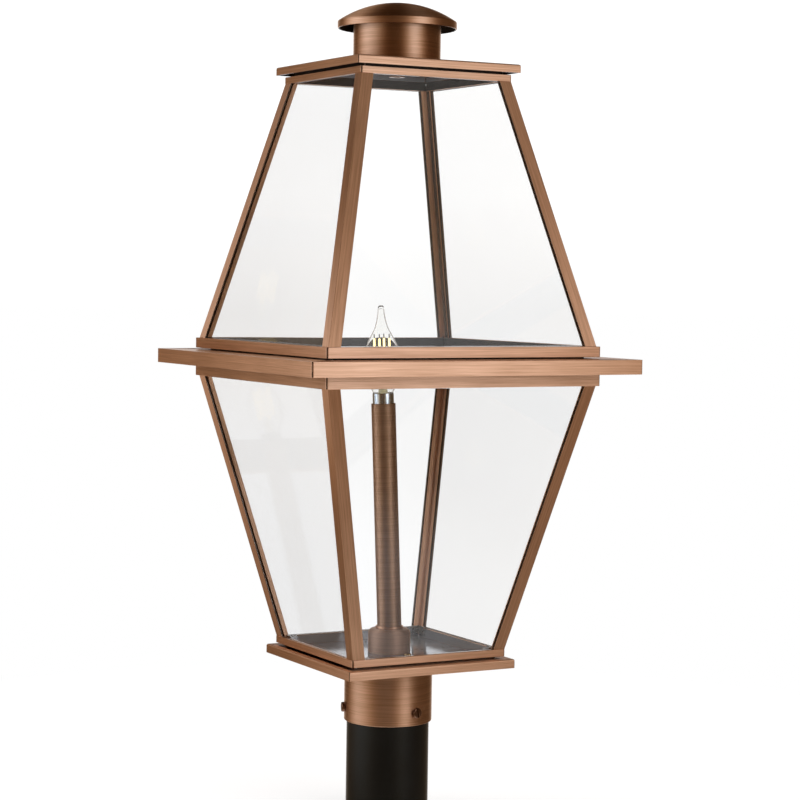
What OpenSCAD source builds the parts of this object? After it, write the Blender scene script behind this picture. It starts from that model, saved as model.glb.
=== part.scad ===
// Outdoor post light: two tapered glass cages joined at a wide brim, on a round post fitter.
// Millimetres. The origin is the centre of the post tube's lower end, and +Z is up.

/* [Post] */
// Outer diameter of the post
post_od = 76.2; // [70:0.1:90]
// Wall of the post tube
post_wall = 2; // [1.5:0.1:4]
// Length of post that stands below the fitter
post_show = 85; // [40:1:200]
// Length of post inside the fitter
post_grip = 38; // [25:1:40]

/* [Fitter] */
// Gap between post and fitter, on the radius
fitter_slack = 0.95; // [0.5:0.05:2]
// Sheet of the drawn fitter cup
fitter_wall = 1.6; // [1.2:0.1:2.4]
// Height of fitter that shows below the tray
fitter_show = 55; // [45:1:90]
// Drawing radius at the closed end of the fitter
fitter_corner = 3; // [2:0.5:5]

/* [Set screws] */
// Thread diameter of a set screw
set_d = 6.35; // [4:0.05:8]
// Height of the set screws above the fitter's open end
set_rise = 12; // [8:0.5:20]
// Direction of the first set screw
set_turn = 281; // [0:0.5:360]
// Head diameter
set_head_d = 9.2; // [8:0.1:12]
// Head height
set_head_h = 2.7; // [2:0.1:4]
// Width of the driver slot
set_slot = 1.3; // [0.8:0.1:1.8]
// Depth of the driver slot
set_slot_deep = 1.1; // [0.6:0.1:1.5]
// Turn of the driver slot off the upright
set_slot_turn = 12; // [0:1:90]
// Rounding of the head's edge
set_head_round = 0.8; // [0.3:0.1:1.2]
// Gap at rest between screw tip and post
set_tip_gap = 0.3; // [0.2:0.05:0.5]

/* [Base tray] */
// Half width of the tray
tray_half = 85; // [80:0.1:95]
// Height of the tray's folded skirt
tray_skirt = 8.2; // [6:0.1:14]
// Distance of the fitter screws from the middle
tray_screw_r = 27; // [25:0.5:31]
// Thread diameter of a fitter screw
tray_screw_d = 4; // [3:0.1:5]
// Head diameter of a fitter screw
tray_screw_head_d = 7; // [6:0.1:8]
// Head height of a fitter screw
tray_screw_head_h = 2.2; // [1.6:0.1:3]
// Length of a fitter screw under its head
tray_screw_len = 6; // [4:0.5:10]
// Diameter of the drain holes
drain_d = 3.2; // [2:0.1:5]

/* [Bands] */
// Sheet metal thickness of tray, bands, brim and roof
sheet = 1.2; // [0.8:0.1:1.5]
// Half width of the base band
base_half = 78.5; // [74:0.05:79.5]
// Face height of the base band
base_face = 6.5; // [5:0.1:10]
// Dark gap between tray and base band
base_reveal = 2.1; // [0.5:0.1:3]
// Width of the base and neck channels
small_channel = 8; // [7.5:0.1:10]
// Half width of the two middle bands
mid_half = 137.5; // [125:0.1:150]
// Face height of the upper middle band
mid_face = 9.4; // [7:0.1:14]
// Dark gap between brim and upper middle band
mid_reveal = 1.55; // [0.3:0.05:3]
// Width of the middle channels
mid_channel = 12; // [10.5:0.1:16]
// How far the lower middle band hangs below the brim
mid_hang = 11.3; // [8:0.1:16]
// Half width of the neck band
neck_half = 76.6; // [70:0.1:78]
// Face height of the neck band
neck_face = 6; // [4:0.1:10]
// Side of the notch down each corner seam
seam = 0.7; // [0.3:0.1:0.9]

/* [Brim] */
// Half width of the brim
brim_half = 164.7; // [150:0.1:190]
// Height of the brim's folded skirt
brim_skirt = 13.1; // [8:0.1:20]
// Depth of the hem folded back inside the skirt
brim_hem = 5; // [3:0.5:7]

/* [Cages] */
// Height of the lower cage between its bands
lower_cage = 242.6; // [200:0.1:300]
// Height of the upper cage between its bands
upper_cage = 236.6; // [200:0.1:300]
// Leg of a corner post angle
post_leg = 12; // [11:0.1:14]
// Thickness of a corner post angle
post_sheet = 1.5; // [1:0.1:2]
// Inset of the corner posts behind the small bands
post_inset_small = 0.55; // [0.3:0.05:1]
// Inset of the corner posts behind the middle bands
post_inset_mid = 3; // [1:0.1:4]
// Glass thickness
glass_t = 3; // [2:0.1:3.1]
// Slot for the glass between post and stop
glass_slot = 3.4; // [3.3:0.1:4]
// Leg of an inner glass stop
stop_leg = 7; // [6:0.1:9]
// Thickness of an inner glass stop
stop_sheet = 1.2; // [0.8:0.1:1.5]
// Leg of a bent glass clip
clip_leg = 12; // [8:0.5:16]
// Height of a bent glass clip
clip_h = 8; // [6:0.5:10]
// Thickness of a bent glass clip
clip_sheet = 0.8; // [0.5:0.1:1.2]
// Side of the small tongue in the corner of a clip
clip_tongue = 2.6; // [2:0.1:4]
// Distance of that tongue below the clip's upper edge
clip_tongue_down = 2.6; // [1.5:0.1:4]

/* [Roof] */
// Half width of the roof plate
roof_half = 82.5; // [79:0.1:95]
// Height of the roof plate's folded skirt
roof_skirt = 7.5; // [6:0.1:14]
// Dark gap between neck band and roof skirt
roof_reveal = 1.8; // [0.5:0.1:3]
// Depth of the collar that centres the roof in the neck
roof_collar_h = 6; // [4:0.5:10]
// Gap between that collar and the neck, a side
roof_collar_gap = 0.4; // [0.3:0.05:1]
// Outer diameter of the chimney
chimney_d = 79.8; // [60:0.1:90]
// Wall of the chimney
chimney_wall = 1.2; // [0.8:0.1:2]
// Height of chimney that shows under the cap's rim
chimney_show = 33.4; // [20:0.1:60]
// Outer diameter of the domed cap
cap_d = 108.9; // [96:0.1:130]
// Face height of the cap's rim
cap_rim = 6.8; // [4:0.1:10]
// Rise of the dome above the rim
cap_rise = 16.6; // [12:0.1:30]
// Sheet of the domed cap
cap_sheet = 1.4; // [1:0.1:2]
// Diameter of the threaded rod
rod_d = 6; // [4:0.1:8]
// Body diameter of the round nut under the ceiling
nut_d = 12; // [10:0.1:16]
// Flange diameter of that nut
nut_flange_d = 14.6; // [12:0.1:20]
// Height of that nut
nut_h = 8.5; // [6:0.1:12]
// Outer diameter of the washer under the ceiling
washer_d = 18; // [17:0.5:26]
// Thickness of that washer
washer_t = 1; // [0.6:0.1:2]

/* [Candle] */
// Outer diameter of the drawn cup
cup_d = 39.1; // [34:0.1:44]
// Height of the drawn cup
cup_h = 22; // [16:0.5:30]
// Shoulder radius of the drawn cup
cup_shoulder = 4; // [2:0.5:6]
// Sheet of the drawn cup
cup_sheet = 1; // [0.6:0.1:1.5]
// Outer diameter of the collar ring
collar_d = 25.7; // [25.2:0.1:30]
// Height of the collar ring
collar_h = 2.7; // [2:0.1:5]
// Depth of the seat in the collar ring
collar_seat = 1.2; // [0.8:0.1:1.6]
// Rounding of the collar ring's edges
collar_round = 0.8; // [0.3:0.1:1]
// Outer diameter of the candle sleeve
sleeve_d = 22.4; // [22:0.1:23]
// Wall of the candle sleeve
sleeve_wall = 0.8; // [0.5:0.1:0.9]
// Length of the candle sleeve
sleeve_len = 206.1; // [160:0.1:240]
// Lean of the candle off the vertical, in degrees
candle_lean = 2.3; // [0:0.1:2.5]
// Direction that the candle leans to
lean_dir = 151.4; // [0:0.1:360]
// Outer diameter of the threaded pipe
pipe_d = 9.6; // [9:0.1:10]
// Bore of the threaded pipe
pipe_bore = 6.8; // [6.4:0.1:7.2]
// Width across the corners of the pipe's lock nuts
lock_d = 16; // [14:0.1:18]
// Thickness of a lock nut
lock_t = 4; // [3:0.1:5]

/* [Socket] */
// Outer diameter of the socket body
socket_d = 19.4; // [19:0.1:20]
// Diameter of the bulb's screw base
base_d = 11.8; // [11.5:0.1:12.2]
// Length of the bulb's screw base
base_len = 19; // [16:0.5:22]
// Gap between screw base and socket shell
base_gap = 0.3; // [0.2:0.05:0.4]
// Sheet of the socket's screw shell
shell_sheet = 0.5; // [0.4:0.1:0.7]
// Insulation diameter of a lead
lead_d = 2.1; // [1.6:0.1:2.4]
// Bend radius of a lead
lead_bend = 5; // [4:0.5:6]
// Large diameter of a wire connector
connector_d = 9; // [7:0.5:10]
// Length of a wire connector
connector_len = 14; // [12:0.5:16]

/* [Bulb] */
// Largest diameter of the bulb glass
bulb_d = 35; // [30:0.5:40]
// Height of the bulb above its metal skirt
bulb_h = 80.6; // [70:0.1:95]
// Diameter of the metal skirt
skirt_d = 19.6; // [17:0.1:20.4]
// Height of skirt that shows above the sleeve
skirt_show = 9.8; // [6:0.1:14]
// Depth of skirt inside the sleeve
skirt_sunk = 5; // [3:0.5:8]
// Wall of the bulb glass
bulb_wall = 0.8; // [0.5:0.1:1.2]
// Diameter of one filament stick
filament_d = 2; // [1.4:0.1:2.4]
// Length of one filament stick with its end pins
filament_len = 40; // [30:1:42]
// Diameter of a filament's end pins
filament_pin_d = 1; // [0.6:0.1:1.4]
// Length of a filament's end pin
filament_pin_len = 4; // [2:0.5:6]
// Distance of the filaments from the bulb's axis
filament_r = 7.2; // [5.5:0.1:8]
// Height of the filaments above the metal skirt
filament_foot = 14; // [12:0.5:18]
// Diameter of the glass mount at its foot
mount_foot_d = 9; // [7:0.1:12]
// Diameter of the glass mount under the filaments
mount_neck_d = 5; // [4:0.1:6]
// Diameter of the glass stem above them
mount_stem_d = 3.2; // [2.5:0.1:4]
// Length of that stem
mount_stem_len = 5; // [3:0.5:10]
// Diameter of a support wire
support_d = 1; // [0.6:0.1:1.4]

/* [Hidden] */
$fn = 96;

// A cut runs past the solid that it cuts by this much
eps = 0.5;
// Clearance of a screw or rod in a plain hole, on the radius
hole_slack = 0.3;
// Running clearance of a thread that is drawn as a plain cylinder, on the radius
thread_slack = 0.05;
// Clearance between a pane and the bands above and below it
pane_slack = 0.2;
// Two solids that are made as one reach this far into each other
weld = 0.1;
// Gap between a set screw's head and the fitter
set_seat_gap = 0.2;
// Gap between the glass clips and the band
clip_gap = 0.05;
// Places of the small holes in the tray floor
drains = [[29.5, 1.7], [34.3, -0.4], [56.8, -1.1]];

copper = [0.72, 0.49, 0.35];
copper_dark = [0.42, 0.28, 0.2];
zinc = [0.7, 0.7, 0.68];
brass = [0.78, 0.62, 0.32];

// Heights, from the ground end up
fitter_z = post_show;
tray_z = fitter_z + fitter_show;
floor_z = tray_z + tray_skirt;
base_top = floor_z + base_reveal + base_face;
hang_z = base_top + lower_cage;
brim_z = hang_z + mid_hang;
brim_top = brim_z + brim_skirt;
mid_top = brim_top + mid_reveal + mid_face;
neck_z = mid_top + upper_cage;
neck_top = neck_z + neck_face;
roof_z = neck_top + roof_reveal;
roof_top = roof_z + roof_skirt;
rim_z = roof_top + chimney_show;
rim_top = rim_z + cap_rim;

post_top = post_show + post_grip;
fitter_r = post_od / 2 + fitter_slack + fitter_wall;
fitter_top = floor_z - sheet;
fitter_ceiling = fitter_top - fitter_wall;
set_z = fitter_z + set_rise;
tray_screw_head_top_d = tray_screw_head_d - 1.6;

small_base_inner = base_half - small_channel;
clip_half = small_base_inner - clip_gap;
small_neck_inner = neck_half - small_channel;
mid_inner = mid_half - mid_channel;

// Half widths of the corner posts at their small and wide ends
base_corner = base_half - post_inset_small;
neck_corner = neck_half - post_inset_small;
mid_corner = mid_half - post_inset_mid;
stop_depth = post_sheet + glass_slot;

// Pane edges stand this far inside the corner, clear of the other pane's slot
pane_edge = stop_depth + 0.3;
pane_face = post_sheet + (glass_slot - glass_t) / 2;

// Spherical cap of the dome, outside and inside
cap_r = cap_d / 2;
cap_lip = 0.5;
dome_foot = cap_r - cap_lip;
dome_r = (dome_foot * dome_foot + cap_rise * cap_rise) / (2 * cap_rise);
dome_mid = rim_top + cap_rise - dome_r;
chimney_r = chimney_d / 2;
chimney_top = dome_mid + sqrt(pow(dome_r - cap_sheet, 2) - pow(chimney_r, 2)) - 0.05;
boss_wall = 3;
boss_r = rod_d / 2 + boss_wall;
boss_h = 14;
boss_end = 3;
// Underside of the dome over the edge of its boss
boss_root = dome_mid + sqrt(pow(dome_r - cap_sheet, 2) - pow(boss_r, 2));

ceiling_z = roof_top - sheet;
nut_top = ceiling_z - washer_t;
nut_z = nut_top - nut_h;
nut_flange_h = 1.4;
rod_top = boss_root - boss_end - 1;
rod_low = nut_z + 1;

// The candle leans about the seat of its collar
cup_top = floor_z + cup_h;
seat_z = cup_top + collar_h - collar_seat;
tilt_rise = sleeve_d / 2 * sin(candle_lean);
sleeve_foot = tilt_rise + 0.02;
seat_slack = 0.35;
sleeve_top = sleeve_foot + sleeve_len;
floor_down = seat_z - floor_z;
ceiling_down = seat_z - fitter_ceiling;
nut_tilt = lock_d / 2 * sin(candle_lean) + 0.05;
pipe_pass = pipe_d / 2 + 1.7;
lock_washer_t = 0.8;
// Length of pipe past its lower lock nut
pipe_past = 3;
pipe_low = -(ceiling_down + nut_tilt + lock_washer_t + lock_t + pipe_past);

// Socket heights along the candle
skirt_foot = sleeve_top - skirt_sunk;
base_foot = skirt_foot - base_len;
button_h = 1.5;
socket_rim = skirt_foot - 1;
shell_r = base_d / 2 + base_gap;
socket_bore = shell_r + shell_sheet + 0.1;
contact_top = base_foot - button_h - 0.3;
contact_h = 5;
contact_d = 4.4;
button_d = 4;
barrier_top = contact_top - contact_h;
barrier_t = 10;
wiring_h = 25;
wiring_wall = 2;
socket_foot = barrier_top - barrier_t - wiring_h;
bushing_t = 3;
pipe_high = socket_foot - bushing_t;
bushing_h = 12;
bushing_wall = 2;
bushing_d = pipe_d + 2 * bushing_wall;

// Leads: off the pipe's axis, down to its end, and along to their connectors
lead_off = 1.6;
lead_low = pipe_low - 1;
lead_run = 4;
connector_tip_d = connector_d - 3;

// Ground screw under the closed end of the fitter, with the lead looped round it
ground_x = 0;
ground_y = -22;
ground_d = 3.8;
ground_head_h = 2;
ground_loop = 3;
ground_wire_z = fitter_ceiling - lead_d / 2;

// Glass of the bulb: radius and height above the skirt, as shares of a flame shape
glass_foot = sleeve_top + skirt_show;
flame = [
    [0.53, 0.0], [0.62, 0.04], [0.83, 0.14], [0.97, 0.25], [1.0, 0.34], [0.955, 0.44],
    [0.83, 0.53], [0.63, 0.63], [0.38, 0.735], [0.262, 0.82], [0.205, 0.89], [0.183, 0.945],
    [0.155, 0.975], [0.09, 0.995], [0.0, 1.0]
];
function mix(a, b, t) = a * (1 - t) + b * t;
// Point at t between p1 and p2 of a smooth curve through four points
function smooth(p0, p1, p2, p3, t) =
    0.5 * (2 * p1 + (p2 - p0) * t + (2 * p0 - 5 * p1 + 4 * p2 - p3) * t * t
    + (3 * p1 - p0 - 3 * p2 + p3) * t * t * t);
flame_last = len(flame) - 1;
flame_steps = 3;
flame_curve = [
    for (i = [0:flame_last - 1]) for (k = [0:flame_steps - 1])
        smooth(flame[max(i - 1, 0)], flame[i], flame[i + 1], flame[min(i + 2, flame_last)], k / flame_steps),
    flame[flame_last]
];

// Corner seen from above, quarter turns for front left, front right, back right, back left
module at_corner(quarter) {
    rotate([0, 0, 90 * quarter])
        children();
}

// Solid between two outlines with the same number of points, at two heights.
// Each cap starts at the outline's first point, which has a straight line to all the others.
module loft(low, z0, high, z1) {
    n = len(low);
    polyhedron(
        points = [for (p = low) [p[0], p[1], z0], for (p = high) [p[0], p[1], z1]],
        faces = [
            [for (i = [0:n - 1]) i],
            [for (i = [0:n - 1]) n + (n - i) % n],
            for (i = [0:n - 1]) [i, n + i, n + (i + 1) % n, (i + 1) % n]
        ]
    );
}

module square_block(half, z0, z1) {
    translate([-half, -half, z0])
        cube([2 * half, 2 * half, z1 - z0]);
}

// Square ring of sheet, open through the middle
module square_ring(half, inner, z0, z1) {
    difference() {
        square_block(half, z0, z1);
        square_block(inner, z0 - eps, z1 + eps);
    }
}

// Notch down the seam at each outer corner of a folded ring
module seams(half, z0, z1) {
    for (quarter = [0:3])
        at_corner(quarter)
            translate([-half - eps, -half - eps, z0 - eps])
                cube([seam + eps, seam + eps, z1 - z0 + 2 * eps]);
}

// Outline of an angle whose outer corner stands at (-half, -half)
function angle_outline(half, leg, thick) = [
    [-half, -half],
    [-half, -half + leg],
    [-half + thick, -half + leg],
    [-half + thick, -half + thick],
    [-half + leg, -half + thick],
    [-half + leg, -half]
];

module tapered_angle(low_half, z0, high_half, z1, leg, thick) {
    loft(angle_outline(low_half, leg, thick), z0, angle_outline(high_half, leg, thick), z1);
}

// Outline of a pane's cut end, behind the front legs of the corner posts
function pane_outline(half) = [
    [-half + pane_edge, -half + pane_face],
    [-half + pane_edge, -half + pane_face + glass_t],
    [half - pane_edge, -half + pane_face + glass_t],
    [half - pane_edge, -half + pane_face]
];

module corner_post(low_half, z0, high_half, z1) {
    color(copper_dark)
        tapered_angle(low_half, z0, high_half, z1, post_leg, post_sheet);
}

module glass_stops(low_half, z0, high_half, z1) {
    color(copper_dark)
        for (quarter = [0:3])
            at_corner(quarter)
                tapered_angle(low_half - stop_depth, z0, high_half - stop_depth, z1, stop_leg, stop_sheet);
}

module pane(low_half, z0, high_half, z1) {
    color([0.85, 0.92, 0.95, 0.35])
        loft(pane_outline(low_half), z0 + pane_slack, pane_outline(high_half), z1 - pane_slack);
}

module lower_post() {
    corner_post(base_corner, base_top, mid_corner, hang_z);
}

module upper_post() {
    corner_post(mid_corner, mid_top, neck_corner, neck_z);
}

module lower_glass() {
    pane(base_corner, base_top, mid_corner, hang_z);
}

module upper_glass() {
    pane(mid_corner, mid_top, neck_corner, neck_z);
}

module lower_glass_stops() {
    glass_stops(base_corner, base_top, mid_corner, hang_z);
}

module upper_glass_stops() {
    glass_stops(mid_corner, mid_top, neck_corner, neck_z);
}

// Post and fitter

module post_tube() {
    color([0.08, 0.08, 0.08])
        difference() {
            cylinder(d = post_od, h = post_top);
            translate([0, 0, -eps])
                cylinder(d = post_od - 2 * post_wall, h = post_top + 2 * eps);
        }
}

function arc(cx, cy, r, a0, a1, n) = [for (i = [0:n]) let (a = mix(a0, a1, i / n)) [cx + r * cos(a), cy + r * sin(a)]];

// Half section of the drawn fitter cup, open end down
function fitter_section() = concat(
    [[0, fitter_top], [0, fitter_ceiling]],
    arc(fitter_r - fitter_corner, fitter_top - fitter_corner, fitter_corner - fitter_wall, 90, 0, 4),
    arc(fitter_r - fitter_wall / 2, fitter_z + fitter_wall / 2, fitter_wall / 2, 180, 360, 6),
    arc(fitter_r - fitter_corner, fitter_top - fitter_corner, fitter_corner, 0, 90, 5)
);

module around_screws() {
    for (i = [0:2])
        rotate([0, 0, set_turn + 120 * i])
            children();
}

module fitter() {
    color(copper)
        difference() {
            rotate_extrude()
                polygon(fitter_section());
            around_screws()
                translate([fitter_r - fitter_wall - fitter_slack, 0, set_z])
                    rotate([0, 90, 0])
                        cylinder(d = set_d + 2 * thread_slack, h = fitter_wall + fitter_slack + eps);
            around_screws()
                translate([tray_screw_r, 0, fitter_ceiling - eps])
                    cylinder(d = tray_screw_d + 2 * thread_slack, h = fitter_wall + 2 * eps);
            translate([0, 0, fitter_ceiling - eps])
                cylinder(r = pipe_pass, h = fitter_wall + 2 * eps);
            translate([ground_x, ground_y, fitter_ceiling - eps])
                cylinder(d = ground_d + 2 * thread_slack, h = fitter_wall + 2 * eps);
        }
}

// Slotted round head screw, pointing inwards through the fitter
module set_screw(index) {
    tip = post_od / 2 + set_tip_gap;
    seat = fitter_r + set_seat_gap;
    color(copper_dark)
        rotate([0, 0, set_turn + 120 * index])
            translate([0, 0, set_z])
                rotate([0, 90, 0])
                    difference() {
                        union() {
                            translate([0, 0, tip])
                                cylinder(d = set_d, h = seat - tip + weld);
                            translate([0, 0, seat])
                                rotate_extrude()
                                    polygon(concat(
                                        [[0, 0]],
                                        [[set_head_d / 2, 0]],
                                        arc(set_head_d / 2 - set_head_round, set_head_h - set_head_round,
                                            set_head_round, 0, 90, 4),
                                        [[0, set_head_h]]
                                    ));
                        }
                        rotate([0, 0, set_slot_turn])
                            translate([-set_head_d, -set_slot / 2, seat + set_head_h - set_slot_deep])
                                cube([2 * set_head_d, set_slot, set_slot_deep + eps]);
                    }
}

// Pan head screws that hold the tray on the fitter
module fitter_screws() {
    color(brass)
        around_screws()
            translate([tray_screw_r, 0, floor_z])
                union() {
                    translate([0, 0, -tray_screw_len])
                        cylinder(d = tray_screw_d, h = tray_screw_len + weld);
                    cylinder(d1 = tray_screw_head_d, d2 = tray_screw_head_top_d, h = tray_screw_head_h);
                }
}

// Base

module base_tray() {
    color(copper)
        difference() {
            square_block(tray_half, tray_z, floor_z);
            square_block(tray_half - sheet, tray_z - eps, floor_z - sheet);
            seams(tray_half, tray_z, floor_z);
            translate([0, 0, floor_z - sheet - eps])
                cylinder(r = pipe_pass, h = sheet + 2 * eps);
            around_screws()
                translate([tray_screw_r, 0, floor_z - sheet - eps])
                    cylinder(d = tray_screw_d + 2 * hole_slack, h = sheet + 2 * eps);
            for (p = drains)
                translate([p[0], p[1], floor_z - sheet - eps])
                    cylinder(d = drain_d, h = sheet + 2 * eps);
        }
}

// Folded channel, open downwards, whose inner leg stands on the sheet below
module channel_up(half, inner, reveal, z0, z1) {
    difference() {
        square_ring(half, inner, z0, z1);
        square_ring(half - sheet, inner + sheet, z0 - eps, z1 - sheet);
        square_ring(half + eps, half - sheet - eps, z0 - eps, z0 + reveal);
        seams(half, z0, z1);
    }
}

// Folded channel, open upwards, whose legs reach the sheet above
module channel_down(half, inner, z0, outer_top, z1) {
    difference() {
        square_ring(half, inner, z0, z1);
        square_ring(half - sheet, inner + sheet, z0 + sheet, z1 + eps);
        square_ring(half + eps, half - sheet - eps, outer_top, z1 + eps);
        seams(half, z0, z1);
    }
}

module base_band() {
    color(copper)
        channel_up(base_half, small_base_inner, base_reveal, floor_z, base_top);
}

module glass_clips() {
    color(zinc)
        for (quarter = [0:3])
            at_corner(quarter)
                translate([0, 0, floor_z + base_reveal])
                    union() {
                        linear_extrude(clip_h)
                            polygon(angle_outline(clip_half, clip_leg, clip_sheet));
                        translate([-clip_half + weld, -clip_half + weld, clip_h - clip_tongue_down - clip_sheet])
                            cube([clip_sheet + clip_tongue, clip_sheet + clip_tongue, clip_sheet]);
                    }
}

// Brim and middle bands

module lower_middle_band() {
    color(copper)
        channel_down(mid_half, mid_inner, hang_z, brim_top - sheet, brim_top - sheet);
}

module brim() {
    color(copper)
        difference() {
            square_ring(brim_half, mid_inner, brim_z, brim_top);
            square_ring(brim_half - sheet, mid_inner - eps, brim_z + brim_hem, brim_top - sheet);
            square_block(brim_half - 2 * sheet, brim_z - eps, brim_z + brim_hem + eps);
            seams(brim_half, brim_z, brim_top);
        }
}

module upper_middle_band() {
    color(copper)
        channel_up(mid_half, mid_inner, mid_reveal, brim_top, mid_top);
}

// Roof

module neck_band() {
    color(copper)
        channel_down(neck_half, small_neck_inner, neck_z, neck_top, ceiling_z);
}

module roof_plate() {
    color(copper)
        difference() {
            square_block(roof_half, roof_z, roof_top);
            square_block(roof_half - sheet, roof_z - eps, ceiling_z);
            seams(roof_half, roof_z, roof_top);
            translate([0, 0, ceiling_z - eps])
                cylinder(d = rod_d + 2 * hole_slack, h = sheet + 2 * eps);
        }
}

module roof_collar() {
    half = small_neck_inner - roof_collar_gap;
    color(copper_dark)
        square_ring(half, half - sheet, ceiling_z - roof_collar_h, ceiling_z);
}

module chimney() {
    color(copper)
        difference() {
            translate([0, 0, roof_top])
                cylinder(r = chimney_r, h = chimney_top - roof_top);
            translate([0, 0, roof_top - eps])
                cylinder(r = chimney_r - chimney_wall, h = chimney_top - roof_top + 2 * eps);
        }
}

// Part of a sphere above a level, under the dome's centre line
module dome_part(r, foot_r, z0) {
    intersection() {
        translate([0, 0, dome_mid])
            sphere(r = r, $fn = 160);
        translate([0, 0, z0])
            cylinder(r = foot_r, h = 2 * cap_rise + cap_rim);
    }
}

module dome_cap() {
    inner_r = dome_r - cap_sheet;
    boss_top = boss_root + 3 * weld;
    color(copper)
        union() {
            difference() {
                union() {
                    translate([0, 0, rim_z])
                        cylinder(r = cap_r, h = cap_rim - cap_lip);
                    translate([0, 0, rim_top - cap_lip])
                        cylinder(r1 = cap_r, r2 = dome_foot, h = cap_lip);
                    dome_part(dome_r, dome_foot, rim_top - cap_lip);
                }
                translate([0, 0, rim_z - eps])
                    cylinder(r = cap_r - cap_sheet, h = eps + cap_rim - cap_sheet);
                dome_part(inner_r, cap_r - cap_sheet, rim_z + cap_rim - cap_sheet - 0.01);
            }
            difference() {
                translate([0, 0, boss_top - boss_h])
                    cylinder(r = boss_r, h = boss_h);
                translate([0, 0, boss_top - boss_h - eps])
                    cylinder(d = rod_d + 2 * thread_slack, h = boss_h - boss_end + eps);
            }
        }
}

module roof_rod() {
    color(zinc)
        translate([0, 0, rod_low])
            cylinder(d = rod_d, h = rod_top - rod_low);
}

module roof_washer() {
    color(zinc)
        translate([0, 0, nut_top])
            difference() {
                cylinder(d = washer_d, h = washer_t);
                translate([0, 0, -eps])
                    cylinder(d = rod_d + 2 * hole_slack, h = washer_t + 2 * eps);
            }
}

module roof_nut() {
    color(copper_dark)
        difference() {
            union() {
                translate([0, 0, nut_z])
                    cylinder(d = nut_flange_d, h = nut_flange_h);
                translate([0, 0, nut_z])
                    cylinder(d = nut_d, h = nut_h);
            }
            translate([0, 0, nut_z - eps])
                cylinder(d = rod_d + 2 * thread_slack, h = nut_h + 2 * eps);
        }
}

// Candle

// Places a piece that is drawn along the candle's own axis, from the collar's seat up
module leaning() {
    translate([0, 0, seat_z])
        rotate([0, 0, lean_dir])
            rotate([0, candle_lean, 0])
                rotate([0, 0, -lean_dir])
                    children();
}

module tube(d, bore, h) {
    difference() {
        cylinder(d = d, h = h);
        translate([0, 0, -eps])
            cylinder(d = bore, h = h + 2 * eps);
    }
}

function cup_section() = concat(
    [[pipe_pass, cup_top], [pipe_pass, cup_top - cup_sheet]],
    arc(cup_d / 2 - cup_shoulder, cup_top - cup_shoulder, cup_shoulder - cup_sheet, 90, 0, 4),
    [[cup_d / 2 - cup_sheet, floor_z], [cup_d / 2, floor_z]],
    arc(cup_d / 2 - cup_shoulder, cup_top - cup_shoulder, cup_shoulder, 0, 90, 6)
);

module candle_cup() {
    color(copper)
        rotate_extrude()
            polygon(cup_section());
}

module candle_collar() {
    edge = collar_round;
    r = collar_d / 2;
    color(copper_dark)
        translate([0, 0, cup_top])
            rotate_extrude()
                polygon(concat(
                    [[pipe_pass, 0]],
                    arc(r - edge, edge, edge, 270, 360, 3),
                    arc(r - edge, collar_h - edge, edge, 0, 90, 3),
                    [[sleeve_d / 2 + seat_slack, collar_h]],
                    [[sleeve_d / 2 + seat_slack, collar_h - collar_seat]],
                    [[pipe_pass, collar_h - collar_seat]]
                ));
}

module candle_sleeve() {
    color(copper)
        leaning()
            translate([0, 0, sleeve_foot])
                tube(sleeve_d, sleeve_d - 2 * sleeve_wall, sleeve_len);
}

module stem_pipe() {
    color(zinc)
        leaning()
            translate([0, 0, pipe_low])
                tube(pipe_d, pipe_bore, pipe_high - pipe_low);
}

module lock_nut() {
    difference() {
        cylinder(d = lock_d, h = lock_t, $fn = 6);
        translate([0, 0, -eps])
            cylinder(d = pipe_d + 2 * thread_slack, h = lock_t + 2 * eps);
    }
}

// One lock nut above the tray floor inside the cup, one below the fitter's closed end
module pipe_lock_nuts() {
    color(zinc)
        leaning()
            union() {
                translate([0, 0, -floor_down + nut_tilt + lock_washer_t])
                    lock_nut();
                translate([0, 0, -ceiling_down - nut_tilt - lock_washer_t - lock_t])
                    lock_nut();
            }
}

module pipe_washers() {
    color(zinc)
        leaning()
            union() {
                translate([0, 0, -floor_down + nut_tilt])
                    tube(lock_d, pipe_d + 2 * thread_slack, lock_washer_t);
                translate([0, 0, -ceiling_down - nut_tilt - lock_washer_t])
                    tube(lock_d, pipe_d + 2 * thread_slack, lock_washer_t);
            }
}

// Socket

module socket_bushing() {
    color(zinc)
        leaning()
            union() {
                translate([0, 0, socket_foot - bushing_t])
                    tube(socket_d, pipe_bore, bushing_t);
                translate([0, 0, pipe_high - bushing_h])
                    tube(bushing_d, pipe_d + 2 * thread_slack, bushing_h);
            }
}

module socket_body() {
    color([0.9, 0.88, 0.82])
        leaning()
            difference() {
                translate([0, 0, socket_foot])
                    cylinder(d = socket_d, h = socket_rim - socket_foot);
                translate([0, 0, socket_foot - eps])
                    cylinder(d = socket_d - 2 * wiring_wall, h = wiring_h + eps);
                translate([0, 0, barrier_top])
                    cylinder(r = socket_bore, h = socket_rim - barrier_top + eps);
            }
}

module socket_shell() {
    color(brass)
        leaning()
            translate([0, 0, base_foot])
                tube(2 * (shell_r + shell_sheet), 2 * shell_r, socket_rim - base_foot);
}

module socket_contact() {
    color(brass)
        leaning()
            translate([0, 0, barrier_top])
                cylinder(d = contact_d, h = contact_h);
}

// Bulb

module bulb_base() {
    color(zinc)
        leaning()
            union() {
                translate([0, 0, base_foot - button_h])
                    cylinder(d = button_d, h = button_h + weld);
                translate([0, 0, base_foot])
                    cylinder(d = base_d, h = base_len + weld);
                translate([0, 0, skirt_foot])
                    cylinder(d = skirt_d, h = skirt_sunk + skirt_show);
            }
}

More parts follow.
